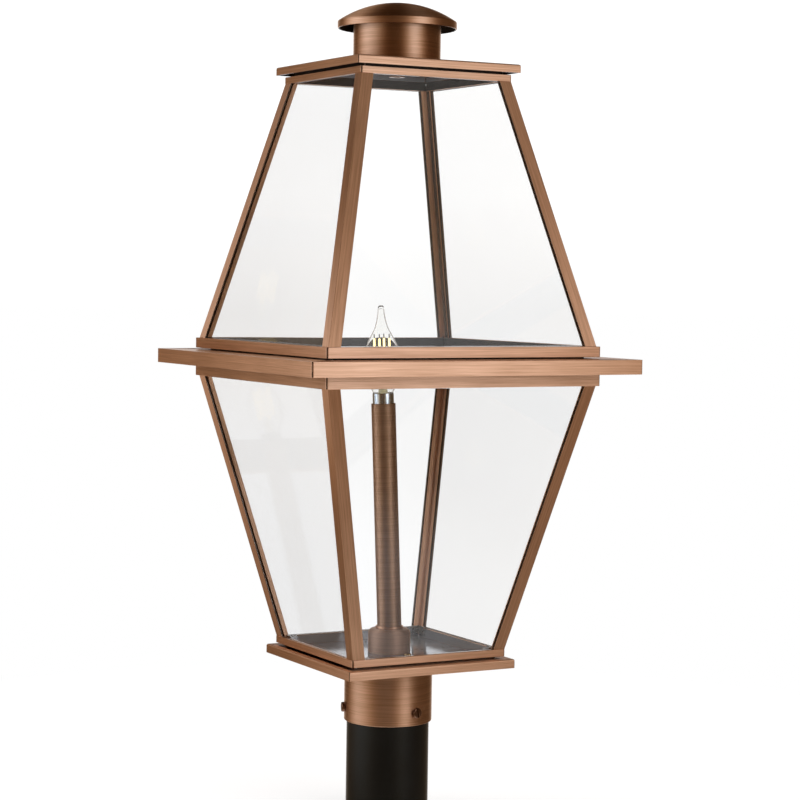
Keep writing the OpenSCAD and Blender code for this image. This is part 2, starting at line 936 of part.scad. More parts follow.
module bulb_glass() {
    r = bulb_d / 2;
    outer = [for (p = flame_curve) [p[0] * r, p[1] * bulb_h]];
    inner = [for (p = flame_curve) if (p[1] < 0.92) [max(p[0] * r - bulb_wall, 0.2), p[1] * bulb_h]];
    last = inner[len(inner) - 1];
    color([0.95, 0.95, 0.92, 0.4])
        leaning()
            translate([0, 0, glass_foot])
                rotate_extrude()
                    polygon(concat(
                        outer,
                        [[0, last[1] + bulb_wall]],
                        [for (i = [len(inner) - 1:-1:0]) inner[i]]
                    ));
}

module around_mount() {
    for (i = [0:3])
        rotate([0, 0, 45 + 90 * i])
            children();
}

// Glass mount whose support wires end under the filaments
module bulb_mount() {
    color([0.93, 0.9, 0.75])
        leaning()
            translate([0, 0, glass_foot])
                union() {
                    cylinder(d1 = mount_foot_d, d2 = mount_neck_d, h = filament_foot);
                    cylinder(d = mount_stem_d, h = filament_foot + mount_stem_len);
                    around_mount()
                        translate([0, 0, filament_foot - support_d / 2])
                            rotate([0, 90, 0])
                                cylinder(d = support_d, h = filament_r + support_d / 2);
                }
}

module bulb_filaments() {
    color([1.0, 0.85, 0.4])
        leaning()
            translate([0, 0, glass_foot + filament_foot])
                around_mount()
                    translate([filament_r, 0, 0])
                        union() {
                            cylinder(d = filament_pin_d, h = filament_len);
                            translate([0, 0, filament_pin_len])
                                cylinder(d = filament_d, h = filament_len - 2 * filament_pin_len);
                        }
}

// Wiring

// A lead runs down the pipe, turns out under the fitter's closed end and enters its connector
module lead(side) {
    leaning()
        rotate([0, 0, side]) {
            translate([lead_off, 0, lead_low])
                cylinder(d = lead_d, h = barrier_top - barrier_t - lead_low);
            translate([lead_off + lead_bend, 0, lead_low])
                rotate([90, 0, 0])
                    rotate([0, 0, 180])
                        rotate_extrude(angle = 90)
                            translate([lead_bend, 0])
                                circle(d = lead_d);
            translate([lead_off + lead_bend, 0, lead_low - lead_bend])
                rotate([0, 90, 0])
                    cylinder(d = lead_d, h = lead_run);
        }
}

module black_lead() {
    color([0.05, 0.05, 0.05])
        lead(0);
}

module white_lead() {
    color([0.92, 0.92, 0.9])
        lead(180);
}

module ground_screw() {
    color([0.2, 0.5, 0.25])
        translate([ground_x, ground_y, 0])
            union() {
                translate([0, 0, ground_wire_z - lead_d / 2 - ground_head_h])
                    cylinder(d = 2 * (ground_loop + lead_d / 2), h = ground_head_h);
                translate([0, 0, ground_wire_z - lead_d / 2 - weld])
                    cylinder(d = ground_d, h = fitter_top - ground_wire_z + lead_d / 2);
            }
}

module ground_lead() {
    color([0.2, 0.55, 0.3])
        translate([ground_x, ground_y, ground_wire_z]) {
            rotate_extrude()
                translate([ground_loop, 0])
                    circle(d = lead_d);
            translate([ground_loop, 0, 0])
                rotate([0, 90, 0])
                    cylinder(d = lead_d, h = lead_run);
            translate([ground_loop + lead_run, 0, -lead_bend])
                rotate([90, 0, 0])
                    rotate_extrude(angle = 90)
                        translate([lead_bend, 0])
                            circle(d = lead_d);
        }
}

module connector() {
    cylinder(d1 = connector_tip_d, d2 = connector_d, h = connector_len);
}

module wire_connectors() {
    color([0.85, 0.45, 0.15]) {
        leaning()
            for (side = [0, 180])
                rotate([0, 0, side])
                    translate([lead_off + lead_bend + lead_run, 0, lead_low - lead_bend])
                        rotate([0, 90, 0])
                            mirror([0, 0, 1])
                                translate([0, 0, -connector_len])
                                    connector();
        translate([ground_x + ground_loop + lead_run + lead_bend, ground_y, ground_wire_z - lead_bend - connector_len])
            connector();
    }
}

post_tube();
fitter();
set_screw(0);  // set_screw_1
set_screw(1);  // set_screw_2
set_screw(2);  // set_screw_3
fitter_screws();
base_tray();
base_band();
at_corner(0) lower_post();  // lower_post_front_left
at_corner(1) lower_post();  // lower_post_front_right
at_corner(2) lower_post();  // lower_post_back_right
at_corner(3) lower_post();  // lower_post_back_left
at_corner(0) lower_glass();  // lower_glass_front
at_corner(1) lower_glass();  // lower_glass_right
at_corner(2) lower_glass();  // lower_glass_back
at_corner(3) lower_glass();  // lower_glass_left
lower_glass_stops();
glass_clips();
lower_middle_band();
brim();
upper_middle_band();
at_corner(0) upper_post();  // upper_post_front_left
at_corner(1) upper_post();  // upper_post_front_right
at_corner(2) upper_post();  // upper_post_back_right
at_corner(3) upper_post();  // upper_post_back_left
at_corner(0) upper_glass();  // upper_glass_front
at_corner(1) upper_glass();  // upper_glass_right
at_corner(2) upper_glass();  // upper_glass_back
at_corner(3) upper_glass();  // upper_glass_left
upper_glass_stops();
neck_band();
roof_plate();
roof_collar();
chimney();
dome_cap();
roof_rod();
roof_nut();
roof_washer();
candle_cup();
candle_collar();
candle_sleeve();
stem_pipe();
pipe_lock_nuts();
pipe_washers();
socket_bushing();
socket_body();
socket_shell();
socket_contact();
bulb_base();
bulb_glass();
bulb_mount();
bulb_filaments();
black_lead();
white_lead();
ground_lead();
wire_connectors();
ground_screw();
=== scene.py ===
import math

import bmesh
import bpy
from mathutils import Matrix, Vector


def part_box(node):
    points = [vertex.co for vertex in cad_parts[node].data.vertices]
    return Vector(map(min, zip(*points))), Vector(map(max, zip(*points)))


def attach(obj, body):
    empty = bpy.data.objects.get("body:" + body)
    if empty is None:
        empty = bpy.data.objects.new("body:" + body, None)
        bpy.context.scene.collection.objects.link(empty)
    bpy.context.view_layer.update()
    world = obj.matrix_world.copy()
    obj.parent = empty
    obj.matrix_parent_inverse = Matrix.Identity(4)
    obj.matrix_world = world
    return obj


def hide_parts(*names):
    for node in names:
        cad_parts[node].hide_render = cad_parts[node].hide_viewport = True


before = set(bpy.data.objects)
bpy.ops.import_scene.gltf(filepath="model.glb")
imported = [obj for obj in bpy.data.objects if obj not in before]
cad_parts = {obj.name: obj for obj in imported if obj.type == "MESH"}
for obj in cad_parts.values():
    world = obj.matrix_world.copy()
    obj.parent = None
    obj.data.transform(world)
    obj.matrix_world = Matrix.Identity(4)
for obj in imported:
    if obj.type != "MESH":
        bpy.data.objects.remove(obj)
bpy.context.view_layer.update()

# Black post
# A stub of the garden post that the light stands on: a round steel tube, powder coated in
# satin black. The light slips over its top, and its lower end is the part's own foot.

mm = 0.001
full_round = 128
small_round = 32
same_place = 1e-7


def ring_of(radius, z, steps):
    """Points round the upright axis. The radius is a number, or a rule that follows the angle."""
    angles = [math.tau * step / steps for step in range(steps)]
    radii = [radius(a) if callable(radius) else radius for a in angles]
    return [(r * math.cos(a), r * math.sin(a), z) for r, a in zip(radii, angles)]


def closed(shape):
    """Welds the corners that meet and turns every face outwards."""
    bmesh.ops.remove_doubles(shape, verts=shape.verts, dist=same_place)
    bmesh.ops.recalc_face_normals(shape, faces=shape.faces)
    return shape


def lathe(rings):
    """A solid skin over rings of points, the last joined to the first unless both are on the axis."""
    shape = bmesh.new()
    rows = [[shape.verts.new(point) for point in ring] for ring in rings]
    for low, high in zip(rows, rows[1:] + rows[:1]):
        if low[0].co.xy.length > 0 or high[0].co.xy.length > 0:
            for k in range(len(low)):
                n = (k + 1) % len(low)
                shape.faces.new((low[k], low[n], high[n], high[k]))
    return closed(shape)


def turned(outline, steps=full_round):
    """Turns an outline of (radius, height) points once round the upright axis."""
    return lathe([ring_of(r, z, steps) for r, z in outline])


def tube(radius, wall, low, high):
    """A plain round tube."""
    return turned([(radius - wall, low), (radius, low), (radius, high), (radius - wall, high)])


def bend(r, z, radius, start, end, steps=5):
    """Points of a rounded fold about (r, z), from one angle to another, in degrees."""
    angles = [math.radians(start + (end - start) * k / steps) for k in range(steps + 1)]
    return [(r + radius * math.cos(a), z + radius * math.sin(a)) for a in angles]


def round_off(shape, edges, width, steps):
    """Rounds some edges of a shape."""
    bmesh.ops.bevel(
        shape, geom=edges, offset=width, offset_type="OFFSET", segments=steps,
        profile=0.5, affect="EDGES", clamp_overlap=True,
    )


def ease_edges(shape, width, steps, sharp):
    """Rounds the edges that are sharper than some degrees."""
    edges = [
        e for e in shape.edges
        if len(e.link_faces) == 2 and e.calc_face_angle(0) > math.radians(sharp)
    ]
    round_off(shape, edges, width, steps)


def grain_round(point, centre, normal):
    """Brushed round the upright axis, as on a lathe."""
    middle = math.atan2(centre.y, centre.x)
    angle = math.atan2(point.y, point.x) - middle
    angle = middle + (angle + math.pi) % math.tau - math.pi
    radius = max(centre.xy.length, 2 * mm)
    return angle * radius, point.xy.length - point.z


def lay_grain(shape, rule):
    """Writes the brushing direction and the distance across it on every face corner."""
    layer = shape.loops.layers.uv.new("grain")
    for face in shape.faces:
        centre, normal = face.calc_center_median(), face.normal.copy()
        for corner in face.loops:
            corner[layer].uv = rule(corner.vert.co, centre, normal)


def as_mesh(name, shape):
    """The mesh of a shape, which is used up."""
    mesh = bpy.data.meshes.new(name)
    shape.to_mesh(mesh)
    shape.free()
    return mesh


def placed(name, data):
    """An object in the scene."""
    made = bpy.data.objects.new(name, data)
    bpy.context.scene.collection.objects.link(made)
    return made


def piece(name, shape, finish, body, nodes, rule=grain_round, place=None, inner=None,
          ease=0, steps=2, sharp=30):
    """Makes the finished object of a shape and says which body and CAD nodes it is for. Ease,
    steps and sharp round its edges. Inner gives for a face how far from the middle the dull inner
    side of the sheet reaches."""
    if ease:
        ease_edges(shape, ease, steps, sharp)
    shape.normal_update()
    lay_grain(shape, rule)
    if inner is not None:
        dull = shape.faces.layers.float.new("inner")
        for face in shape.faces:
            face[dull] = inner(face.calc_center_median(), face.normal)
    mesh = as_mesh(name, shape)
    mesh.materials.append(finish)
    for face in mesh.polygons:
        face.use_smooth = True
    if place is not None:
        mesh.transform(place)
    made = placed(name, mesh)
    flats = made.modifiers.new("flat faces stay flat", "WEIGHTED_NORMAL")
    flats.keep_sharp = True
    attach(made, body)
    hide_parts(*nodes)


def feed(socket, value):
    """Joins another node's output to a socket, or sets the socket. A colour is three numbers."""
    if isinstance(value, bpy.types.NodeSocket):
        tree.links.new(value, socket)
    elif socket.type == "RGBA":
        socket.default_value = (*value, 1)
    else:
        socket.default_value = value


def fill(node, **settings):
    """Gives a node its settings: sockets, with _ for a space in their names, and properties."""
    for key, value in settings.items():
        socket = node.inputs.get(key.replace("_", " "))
        if socket is None:
            setattr(node, key, value)
        else:
            feed(socket, value)
    return node


def add(kind, **settings):
    """Adds a node to the material in hand."""
    return fill(tree.nodes.new(kind), **settings)


def new_finish(name):
    """Takes a new material in hand and gives its shader. The nodes that are added next are its own."""
    global tree
    made = bpy.data.materials.new(name)
    made.use_nodes = True
    tree = made.node_tree
    return made, tree.nodes["Principled BSDF"]


def combine(kind, *values, **settings):
    """Adds a node and feeds its first sockets in their order."""
    node = add(kind, **settings)
    for socket, value in zip(node.inputs, values):
        feed(socket, value)
    return node.outputs


def calculate(operation, first, second):
    """One sum of two values, each a number or another node's output."""
    return combine("ShaderNodeMath", first, second, operation=operation)[0]


def plus(first, *others):
    """All the values added up."""
    for other in others:
        first = calculate("ADD", first, other)
    return first


def times(first, *others):
    """All the values multiplied."""
    for other in others:
        first = calculate("MULTIPLY", first, other)
    return first


def spread(source, low, high, out_low, out_high):
    """Maps a value from one range to another."""
    return add(
        "ShaderNodeMapRange", Value=source, From_Min=low, From_Max=high, To_Min=out_low, To_Max=out_high,
    ).outputs["Result"]


def mottle(scale, detail=3.0):
    """Cloudy variation in the object's own space."""
    space = add("ShaderNodeTexCoord").outputs["Object"]
    noise = add("ShaderNodeTexNoise", Vector=space, Scale=scale, Detail=detail, Roughness=0.55)
    return noise.outputs["Fac"]


def blend_colours(share, first, second):
    """Mixes two colours by a share."""
    node = add("ShaderNodeMix", data_type="RGBA", Factor=share)
    for socket, colour in zip((s for s in node.inputs if s.type == "RGBA"), (first, second)):
        feed(socket, colour)
    return next(s for s in node.outputs if s.type == "RGBA")


def dent(shader, height, strength, depth):
    """Small relief on the surface."""
    bump = add("ShaderNodeBump", Height=height, Strength=strength, Distance=depth)
    fill(shader, Normal=bump.outputs["Normal"])


def clouded(name, cloud, first, second, rough, relief, **sockets):
    """A finish that clouds between two colours and their two roughnesses, with relief given by its
    scale, strength and depth."""
    made, shader = new_finish(name)
    clouds = spread(mottle(cloud), 0.3, 0.7, 0, 1)
    tone = blend_colours(clouds, first, second)
    fill(shader, Base_Color=tone, Roughness=spread(clouds, 0, 1, *rough), **sockets)
    scale, strength, depth = relief
    dent(shader, mottle(scale, 2), strength, depth)
    return made


post_low, post_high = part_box("post_tube")
post_r = post_high.x
post_wall = 2 * mm
post_shape = tube(post_r, post_wall, post_low.z, post_high.z)
post_black = clouded(
    "satin black powder coat", 25, (0.0022, 0.0022, 0.0024), (0.0033, 0.0033, 0.0036), (0.29, 0.35),
    (900, 0.12, 0.1 * mm), Specular_IOR_Level=0.7, Specular_Tint=(0.8, 0.93, 1),
)
piece("black_post", post_shape, post_black, "post", ["post_tube"], ease=0.5 * mm)


# Post fitter and its set screws
# A deep drawn cup of copper finished steel, brushed on the lathe, with a rolled lip. It drops
# over the post, and three slotted screws through its wall clamp it there.

# Painted shade: near black that stands for the shade inside folds, gaps and hollows.
painted_shade_black = (0.036, 0.026, 0.020)


def vectors(operation, *values, output="Vector"):
    """One sum of vectors."""
    return combine("ShaderNodeVectorMath", *values, operation=operation)[output]


def streaks(along, across, roughness=0.6):
    """Noise drawn out along the grain."""
    grain = add("ShaderNodeUVMap", uv_map="grain").outputs["UV"]
    drawn = add("ShaderNodeMapping", Vector=grain, Scale=(along, across, 1)).outputs["Vector"]
    noise = add("ShaderNodeTexNoise", Vector=drawn, Scale=1, Detail=2, Roughness=roughness)
    return noise.outputs["Fac"]


def brushed(name, light, dark, rough, inner):
    """Brushed metal: fine streaks along the grain, slow changes of tone, a dull inner side where
    the brush doesn't reach, and painted shade, near black, in the folds where no light reaches."""
    made, shader = new_finish(name)
    lines = plus(streaks(13, 950), streaks(30, 3100))
    broad = spread(streaks(8, 420), 0.3, 0.7, 0, 0.4)
    tone = plus(spread(lines, 0.75, 1.25, 0, 0.8), broad, mottle(11))
    plain = blend_colours(spread(tone, 0.5, 1.7, 0, 1), dark, light)
    away = vectors("ABSOLUTE", add("ShaderNodeTexCoord").outputs["Object"])
    apart = add("ShaderNodeSeparateXYZ", Vector=away).outputs
    reach = add("ShaderNodeAttribute", attribute_name="inner").outputs["Fac"]
    side = calculate("GREATER_THAN", reach, calculate("MAXIMUM", apart["X"], apart["Y"]))
    # Faces marked below zero get the painted shade of the folds.
    fold = calculate("LESS_THAN", reach, -0.5)
    brushed_rough = spread(lines, 0.7, 1.3, rough + 0.04, rough - 0.04)
    grain = add("ShaderNodeTangent", direction_type="UV_MAP", uv_map="grain")
    fill(
        shader, Base_Color=blend_colours(fold, blend_colours(side, plain, inner), painted_shade_black),
        Roughness=calculate("SUBTRACT", brushed_rough, times(side, rough - 0.1)),
        Metallic=spread(side, 0, 1, 1, 0.35), Anisotropic=0.85, Anisotropic_Rotation=0.25,
        Tangent=grain.outputs["Tangent"],
    )
    dent(shader, lines, 0.2, 0.02 * mm)
    return made


def block(low, high):
    """A plain block between two corners."""
    shape = bmesh.new()
    low, high = Vector(low), Vector(high)
    bmesh.ops.create_cube(shape, size=1, matrix=Matrix.LocRotScale((low + high) / 2, None, high - low))
    return shape


def cut(shape, *cutters):
    """Cuts other closed shapes out of a shape."""
    stock = placed("stock", as_mesh("stock", shape))
    tools = [placed("cutter", as_mesh("cutter", c)) for c in cutters]
    for tool in tools:
        step = stock.modifiers.new("cut", "BOOLEAN")
        step.operation = "DIFFERENCE"
        step.solver = "EXACT"
        step.object = tool
    result = bmesh.new()
    result.from_mesh(stock.evaluated_get(bpy.context.evaluated_depsgraph_get()).to_mesh())
    for made in (stock, *tools):
        mesh = made.data
        bpy.data.objects.remove(made)
        bpy.data.meshes.remove(mesh)
    bmesh.ops.dissolve_limit(result, angle_limit=0.002, verts=result.verts, edges=result.edges)
    return result


def turn(degrees, axis="Z"):
    """A turn about an axis through the origin."""
    return Matrix.Rotation(math.radians(degrees), 4, axis)


def outwards(distance, degrees):
    """A move away from the upright axis."""
    return Matrix.Translation(turn(degrees) @ Vector((distance, 0, 0)))


def moved(shape, matrix):
    """The shape after a move."""
    bmesh.ops.transform(shape, verts=shape.verts, matrix=matrix)
    return shape


copper_tones = (0.88, 0.55, 0.375), (0.56, 0.32, 0.195), 0.38
copper = brushed("brushed copper", *copper_tones, (0.10, 0.10, 0.10))
copper_sheet = brushed("brushed copper sheet", *copper_tones, (0.44, 0.44, 0.465))
copper_brown = brushed(
    "brown copper", (0.79, 0.48, 0.315), (0.51, 0.29, 0.18), 0.40, (0.12, 0.08, 0.055),
)

fitter_low, fitter_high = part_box("fitter")
fitter_r = fitter_high.x
fitter_wall = 1.6 * mm
fitter_corner = 3 * mm
fitter_hole = 6.5 * mm
lip_r = fitter_wall / 2
corner_r = fitter_r - fitter_corner
corner_z = fitter_high.z - fitter_corner
fitter_shape = turned(
    [(fitter_hole, fitter_high.z - fitter_wall), (fitter_hole, fitter_high.z)]
    + bend(corner_r, corner_z, fitter_corner, 90, 0)
    + bend(fitter_r - lip_r, fitter_low.z + lip_r, lip_r, 0, -180, 8)
    + bend(corner_r, corner_z, fitter_corner - fitter_wall, 0, 90)
)


def in_fitter(centre, normal):
    """Painted shade: near black inside the cup and on its closed end, which the tray covers."""
    return -float(normal.z > 0.9 or centre.xy.length < fitter_r - fitter_wall / 2)


piece("fitter_cup", fitter_shape, copper, "lantern", ["fitter"], inner=in_fitter, ease=0.2 * mm)

screw_bronze = brushed(
    "dark bronze screws", (0.34, 0.20, 0.13), (0.20, 0.11, 0.07), 0.30, (0.20, 0.15, 0.12),
)
screw_ways = [281 + 120 * i for i in range(3)]
screw_head_r = 4.6 * mm
screw_head_h = 2.7 * mm
screw_dome = 0.9 * mm
screw_r = 3.1 * mm
screw_point = 0.5 * mm
screw_slot = 1.3 * mm
screw_slot_deep = 1.1 * mm
screw_slot_turn = 12
screw_gap = 0.2 * mm
screw_tip = post_r + 0.4 * mm
head_foot = fitter_r + screw_gap
head_top = head_foot + screw_head_h
screw_z = (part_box("set_screw_1")[0].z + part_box("set_screw_1")[1].z) / 2
for i, way in enumerate(screw_ways):
    screw_shape = turned(
        [(0, screw_tip), (screw_r - screw_point, screw_tip), (screw_r, screw_tip + screw_point)]
        + [(screw_r, head_foot), (screw_head_r, head_foot)]
        + bend(screw_head_r - screw_dome, head_top - screw_dome, screw_dome, 0, 90)
        + [(0, head_top)],
        steps=48,
    )
    slot_shape = block(
        (-2 * screw_head_r, -screw_slot / 2, head_top - screw_slot_deep),
        (2 * screw_head_r, screw_slot / 2, head_top + screw_slot_deep),
    )
    screw_shape = cut(screw_shape, moved(slot_shape, turn(screw_slot_turn)))
    node = f"set_screw_{i + 1}"
    piece(
        f"slotted_screw_{i + 1}", screw_shape, screw_bronze, node, [node],
        place=Matrix.Translation((0, 0, screw_z)) @ turn(way) @ turn(90, "Y"), ease=0.15 * mm,
    )


# Base tray, base band and what is fixed in them
# The tray is one copper plated sheet with its four edges folded down, screwed to the closed end
# of the fitter. The base band is a folded square channel that stands on it with a gap that is
# dark from its shade and from painted shade, near black, inside the channel.

sheet = 1.2 * mm
seam = 0.45 * mm
seam_corner = 0.6 * mm


def folded(section, whole=0.0):
    """Runs a section of (half width, height) round a square. The four sides part at the corners
    by a seam, except inside the half width that is one whole sheet."""
    shape = bmesh.new()
    count = len(section)
    for side in range(4):
        facing_side = turn(90 * side)
        left, right = [], []
        for r, z in section:
            reach = r - (seam if r > whole else 0)
            left.append(shape.verts.new(facing_side @ Vector((-reach, -r, z))))
            right.append(shape.verts.new(facing_side @ Vector((reach, -r, z))))
        for k in range(count):
            m = (k + 1) % count
            if section[k][0] > 0 or section[m][0] > 0:
                shape.faces.new((left[k], right[k], right[m], left[m]))
        ends = [k for k in range(count) if section[k][0] >= whole]
        shape.faces.new([left[k] for k in ends])
        shape.faces.new([right[k] for k in ends])
    return closed(shape)


def ease_seams(shape, width=1.4 * mm):
    """Rounds the upright edges beside the seams, at the outermost corners only."""
    outermost = max(v.co.x for v in shape.verts) - seam_corner
    edges = []
    for edge in shape.edges:
        one, other = (v.co for v in edge.verts)
        upright = abs(one.z - other.z) > 0.9 * (one - other).length
        if upright and all(min(abs(c.x), abs(c.y)) > outermost for c in (one, other)):
            edges.append(edge)
    round_off(shape, edges, width, 3)


def faces_in(centre, normal):
    """The dull side of an angle is what looks towards the middle."""
    return float(centre.x * normal.x + centre.y * normal.y < -0.3 * centre.xy.length)


def out_of(centre):
    """How far a place is from the middle of the square."""
    return max(abs(centre.x), abs(centre.y))


def within(half, inner, low, high):
    """The dull side of a folded frame is its innermost face. What lies between is in the fold and gets
    painted shade, near black.
    """
    def pick(centre, normal):
        if abs(normal.z) > 0.5:
            return -float(low + sheet / 4 < centre.z < high - sheet / 4)
        if out_of(centre) < inner + sheet / 2:
            return 1.0
        return -float(out_of(centre) < half - sheet / 2)

    return pick


def grain_sides(point, centre, normal):
    """Brushed along each side of a square frame."""
    if abs(centre.y) > abs(centre.x):
        along, out, offset = point.x, abs(point.y), math.copysign(1, centre.y)
    else:
        along, out, offset = point.y, abs(point.x), math.copysign(3, centre.x)
    return along + offset, out - point.z + offset


def grain_tray(point, centre, normal):
    """Brushed one way over a flat sheet, and along its folded edges."""
    if abs(normal.z) > 0.7:
        return point.x + 7, point.y
    return grain_sides(point, centre, normal)


def square_rail(name, section, finish, node, inner, ease=0.35 * mm, steps=3, rule=grain_sides,
                whole=0.0, body="lantern"):
    """Folds a section round a square, eases its seams and edges, and makes the piece."""
    shape = folded(section, whole)
    ease_seams(shape)
    piece(name, shape, finish, body, [node], rule, inner=inner, ease=ease, steps=steps)


def tray_section(half, low, high):
    """Half section of a sheet folded down at its edges, and where its flat part ends."""
    fold = 1.7 * mm
    return (
        [(0, high)]
        + bend(half - fold, high - fold, fold, 90, 0)
        + [(half, low), (half - sheet, low), (half - sheet, high - sheet)]
        + [(half - fold, high - sheet), (0, high - sheet)]
    ), half - fold


def rod(radius, low, high, steps):
    """A plain round rod."""
    return turned([(0, low), (radius, low), (radius, high), (0, high)], steps)


def sheet_sides(half, top, under):
    """The dull side of a folded sheet: how far it reaches on top, what is under it, and painted
    shade, near black, behind its skirt."""
    def pick(centre, normal):
        if abs(normal.z) > 0.7:
            return top if normal.z > 0 else under
        return -float(out_of(centre) < half - sheet / 2)

    return pick


tray_low, tray_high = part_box("base_tray")
band_low, band_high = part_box("base_band")
band_half = band_high.x
band_inner = band_half - 8 * mm
drain_r = 1.6 * mm
drains = [(29.5 * mm, 1.7 * mm), (34.3 * mm, -0.4 * mm), (56.8 * mm, -1.1 * mm)]
tray_shape = folded(*tray_section(tray_high.x, tray_low.z, tray_high.z))
ease_seams(tray_shape)
ease_edges(tray_shape, 0.3 * mm, 2, 30)
drill_low, drill_high = tray_high.z - 2 * sheet, tray_high.z + sheet
drills = [
    moved(rod(drain_r, drill_low, drill_high, small_round), Matrix.Translation((x, y, 0)))
    for x, y in drains
]
# Under the tray and behind its skirt the sheet gets painted shade, near black.
piece(
    "base_sheet", cut(tray_shape, *drills), copper_sheet, "lantern", ["base_tray"],
    grain_tray, inner=sheet_sides(tray_high.x, band_inner, -1.0),
)

base_reveal = 2.1 * mm


def channel_up(half, inner, reveal, low, high):
    """Section of a channel that is open downwards, with its outer leg cut short."""
    return [
        (half, low + reveal), (half, high), (inner, high), (inner, low),
        (inner + sheet, low), (inner + sheet, high - sheet),
        (half - sheet, high - sheet), (half - sheet, low + reveal),
    ]


square_rail(
    "base_rail", channel_up(band_half, band_inner, base_reveal, band_low.z, band_high.z),
    copper_sheet, "base_band", within(band_half, band_inner, band_low.z, band_high.z),
)


def bright_metal(name, colour, dull, rough):
    """Plated metal with faint clouds."""
    relief = (300, 0.05, 0.05 * mm)
    return clouded(name, 180, dull, colour, (rough + 0.1, rough), relief, Metallic=1)


def join_shapes(shapes):
    """One shape of several."""
    joined = bmesh.new()
    for shape in shapes:
        scratch = as_mesh("part", shape)
        joined.from_mesh(scratch)
        bpy.data.meshes.remove(scratch)
    return joined


screw_brass = bright_metal("yellow plated steel", (0.66, 0.46, 0.22), (0.45, 0.30, 0.14), 0.25)
pan_low, pan_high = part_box("fitter_screws")
pan_place = 27 * mm
pan_r = 3.4 * mm
pan_h = 2.2 * mm
pan_round = 1.2 * mm
pan_shank = 1.95 * mm
pan_tip = pan_low.z + 0.2 * mm
pan_foot = pan_high.z - pan_h
cross_long, cross_thin, cross_deep = pan_r * 0.55, 0.4 * mm, 1 * mm


def pan_screw():
    """A pan head screw with a cross slot."""
    shape = turned(
        [(0, pan_tip), (pan_shank, pan_tip), (pan_shank, pan_foot), (pan_r, pan_foot)]
        + bend(pan_r - pan_round, pan_high.z - pan_round, pan_round, 0, 90)
        + [(0, pan_high.z)],
        small_round,
    )
    slots = [
        block((-x, -y, pan_high.z - cross_deep), (x, y, pan_high.z + cross_deep))
        for x, y in ((cross_thin, cross_long), (cross_long, cross_thin))
    ]
    return cut(shape, *slots)


pan_shape = join_shapes([moved(pan_screw(), outwards(pan_place, way)) for way in screw_ways])
piece("tray_screws", pan_shape, screw_brass, "lantern", ["fitter_screws"], ease=0.12 * mm)


def drawn_between(low_ring, high_ring):
    """A solid between two outlines of as many points, each given as (x, y, z)."""
    shape = bmesh.new()
    low = [shape.verts.new(p) for p in low_ring]
    high = [shape.verts.new(p) for p in high_ring]
    shape.faces.new(low)
    shape.faces.new(high)
    for k in range(len(low)):
        m = (k + 1) % len(low)
        shape.faces.new((low[k], low[m], high[m], high[k]))
    return closed(shape)


def angle_ring(half, leg, thick, z):
    """Outline of an angle with its outer corner at the front left."""
    tip, bare = leg - half, thick - half
    flat = [(-half, -half), (-half, tip), (bare, tip), (bare, bare), (tip, bare), (tip, -half)]
    return [(x, y, z) for x, y in flat]


def at_corner(shape, quarter):
    """Turns a shape from the front left corner to another corner."""
    return moved(shape, turn(90 * quarter))


plated = bright_metal("zinc plated spring steel", (0.75, 0.76, 0.76), (0.52, 0.53, 0.54), 0.22)
clip_low, clip_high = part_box("glass_clips")
clip_half = clip_high.x
clip_leg = 12 * mm
clip_sheet = 0.8 * mm
clip_tab = 2.6 * mm
tab_down = 3.4 * mm
tab_from, tab_to = clip_sheet - clip_half, clip_sheet + clip_tab - clip_half
clip_shapes = []
for quarter in range(4):
    clip_angle = drawn_between(
        angle_ring(clip_half, clip_leg, clip_sheet, clip_low.z),
        angle_ring(clip_half, clip_leg, clip_sheet, clip_high.z),
    )
    tab = block(
        (tab_from, tab_from, clip_high.z - tab_down),
        (tab_to, tab_to, clip_high.z - tab_down + clip_sheet),
    )
    clip_shapes += [at_corner(clip_angle, quarter), at_corner(tab, quarter)]
piece(
    "corner_clips", join_shapes(clip_shapes), plated, "lantern", ["glass_clips"],
    grain_sides, ease=0.15 * mm,
)


# Lower cage
# Four angles of brown copper plated steel lean outwards from the base band to the brim. A flat
# pane stands behind each pair, held in its slot by a smaller angle inside every corner.

corners = ["front_left", "front_right", "back_right", "back_left"]
sides = ["front", "right", "back", "left"]
post_leg = 12 * mm
post_sheet = 1.5 * mm
glass_slot = 3.4 * mm
glass_t = 3 * mm
stop_leg = 7 * mm
stop_sheet = 1.2 * mm
stop_depth = post_sheet + glass_slot
pane_edge = stop_depth + 0.3 * mm
pane_face = post_sheet + (glass_slot - glass_t) / 2


def grain_upright(point, centre, normal):
    """Brushed along an upright piece."""
    return point.z, abs(point.x) - abs(point.y)


def pane_ring(half, z):
    """Cut end of a pane behind the front pair of corner angles."""
    edge, front = half - pane_edge, pane_face - half
    back = front + glass_t
    return [(-edge, front, z), (-edge, back, z), (edge, back, z), (edge, front, z)]


def either(share, first, second):
    """One shader, or the other by a share."""
    return combine("ShaderNodeMixShader", share, first, second)[0]


def see_through(tint):
    """A surface that lets everything straight through."""
    return add("ShaderNodeBsdfTransparent", Color=tint).outputs["BSDF"]


def clear_glass(name, tint, ior, wave):
    """Clear glass, with light from the lamps let straight through it."""
    made, shader = new_finish(name)
    faint = spread(mottle(9, 2), 0.3, 0.7, 0, 1)
    fill(
        shader, Transmission_Weight=1, IOR=ior,
        Base_Color=blend_colours(faint, tint, tuple(c * 0.99 for c in tint)),
        Roughness=spread(mottle(35), 0.55, 0.8, 0.0, 0.004),
    )
    dent(shader, mottle(9, 0), wave, 0.4 * mm)
    lamp_ray = add("ShaderNodeLightPath").outputs["Is Shadow Ray"]
    shown = either(lamp_ray, shader.outputs["BSDF"], see_through((0.92, 0.92, 0.92)))
    fill(tree.nodes["Material Output"], Surface=shown)
    return made


pane_glass = clear_glass("clear pane glass", (0.994, 0.998, 1.0), 1.36, 0.02)


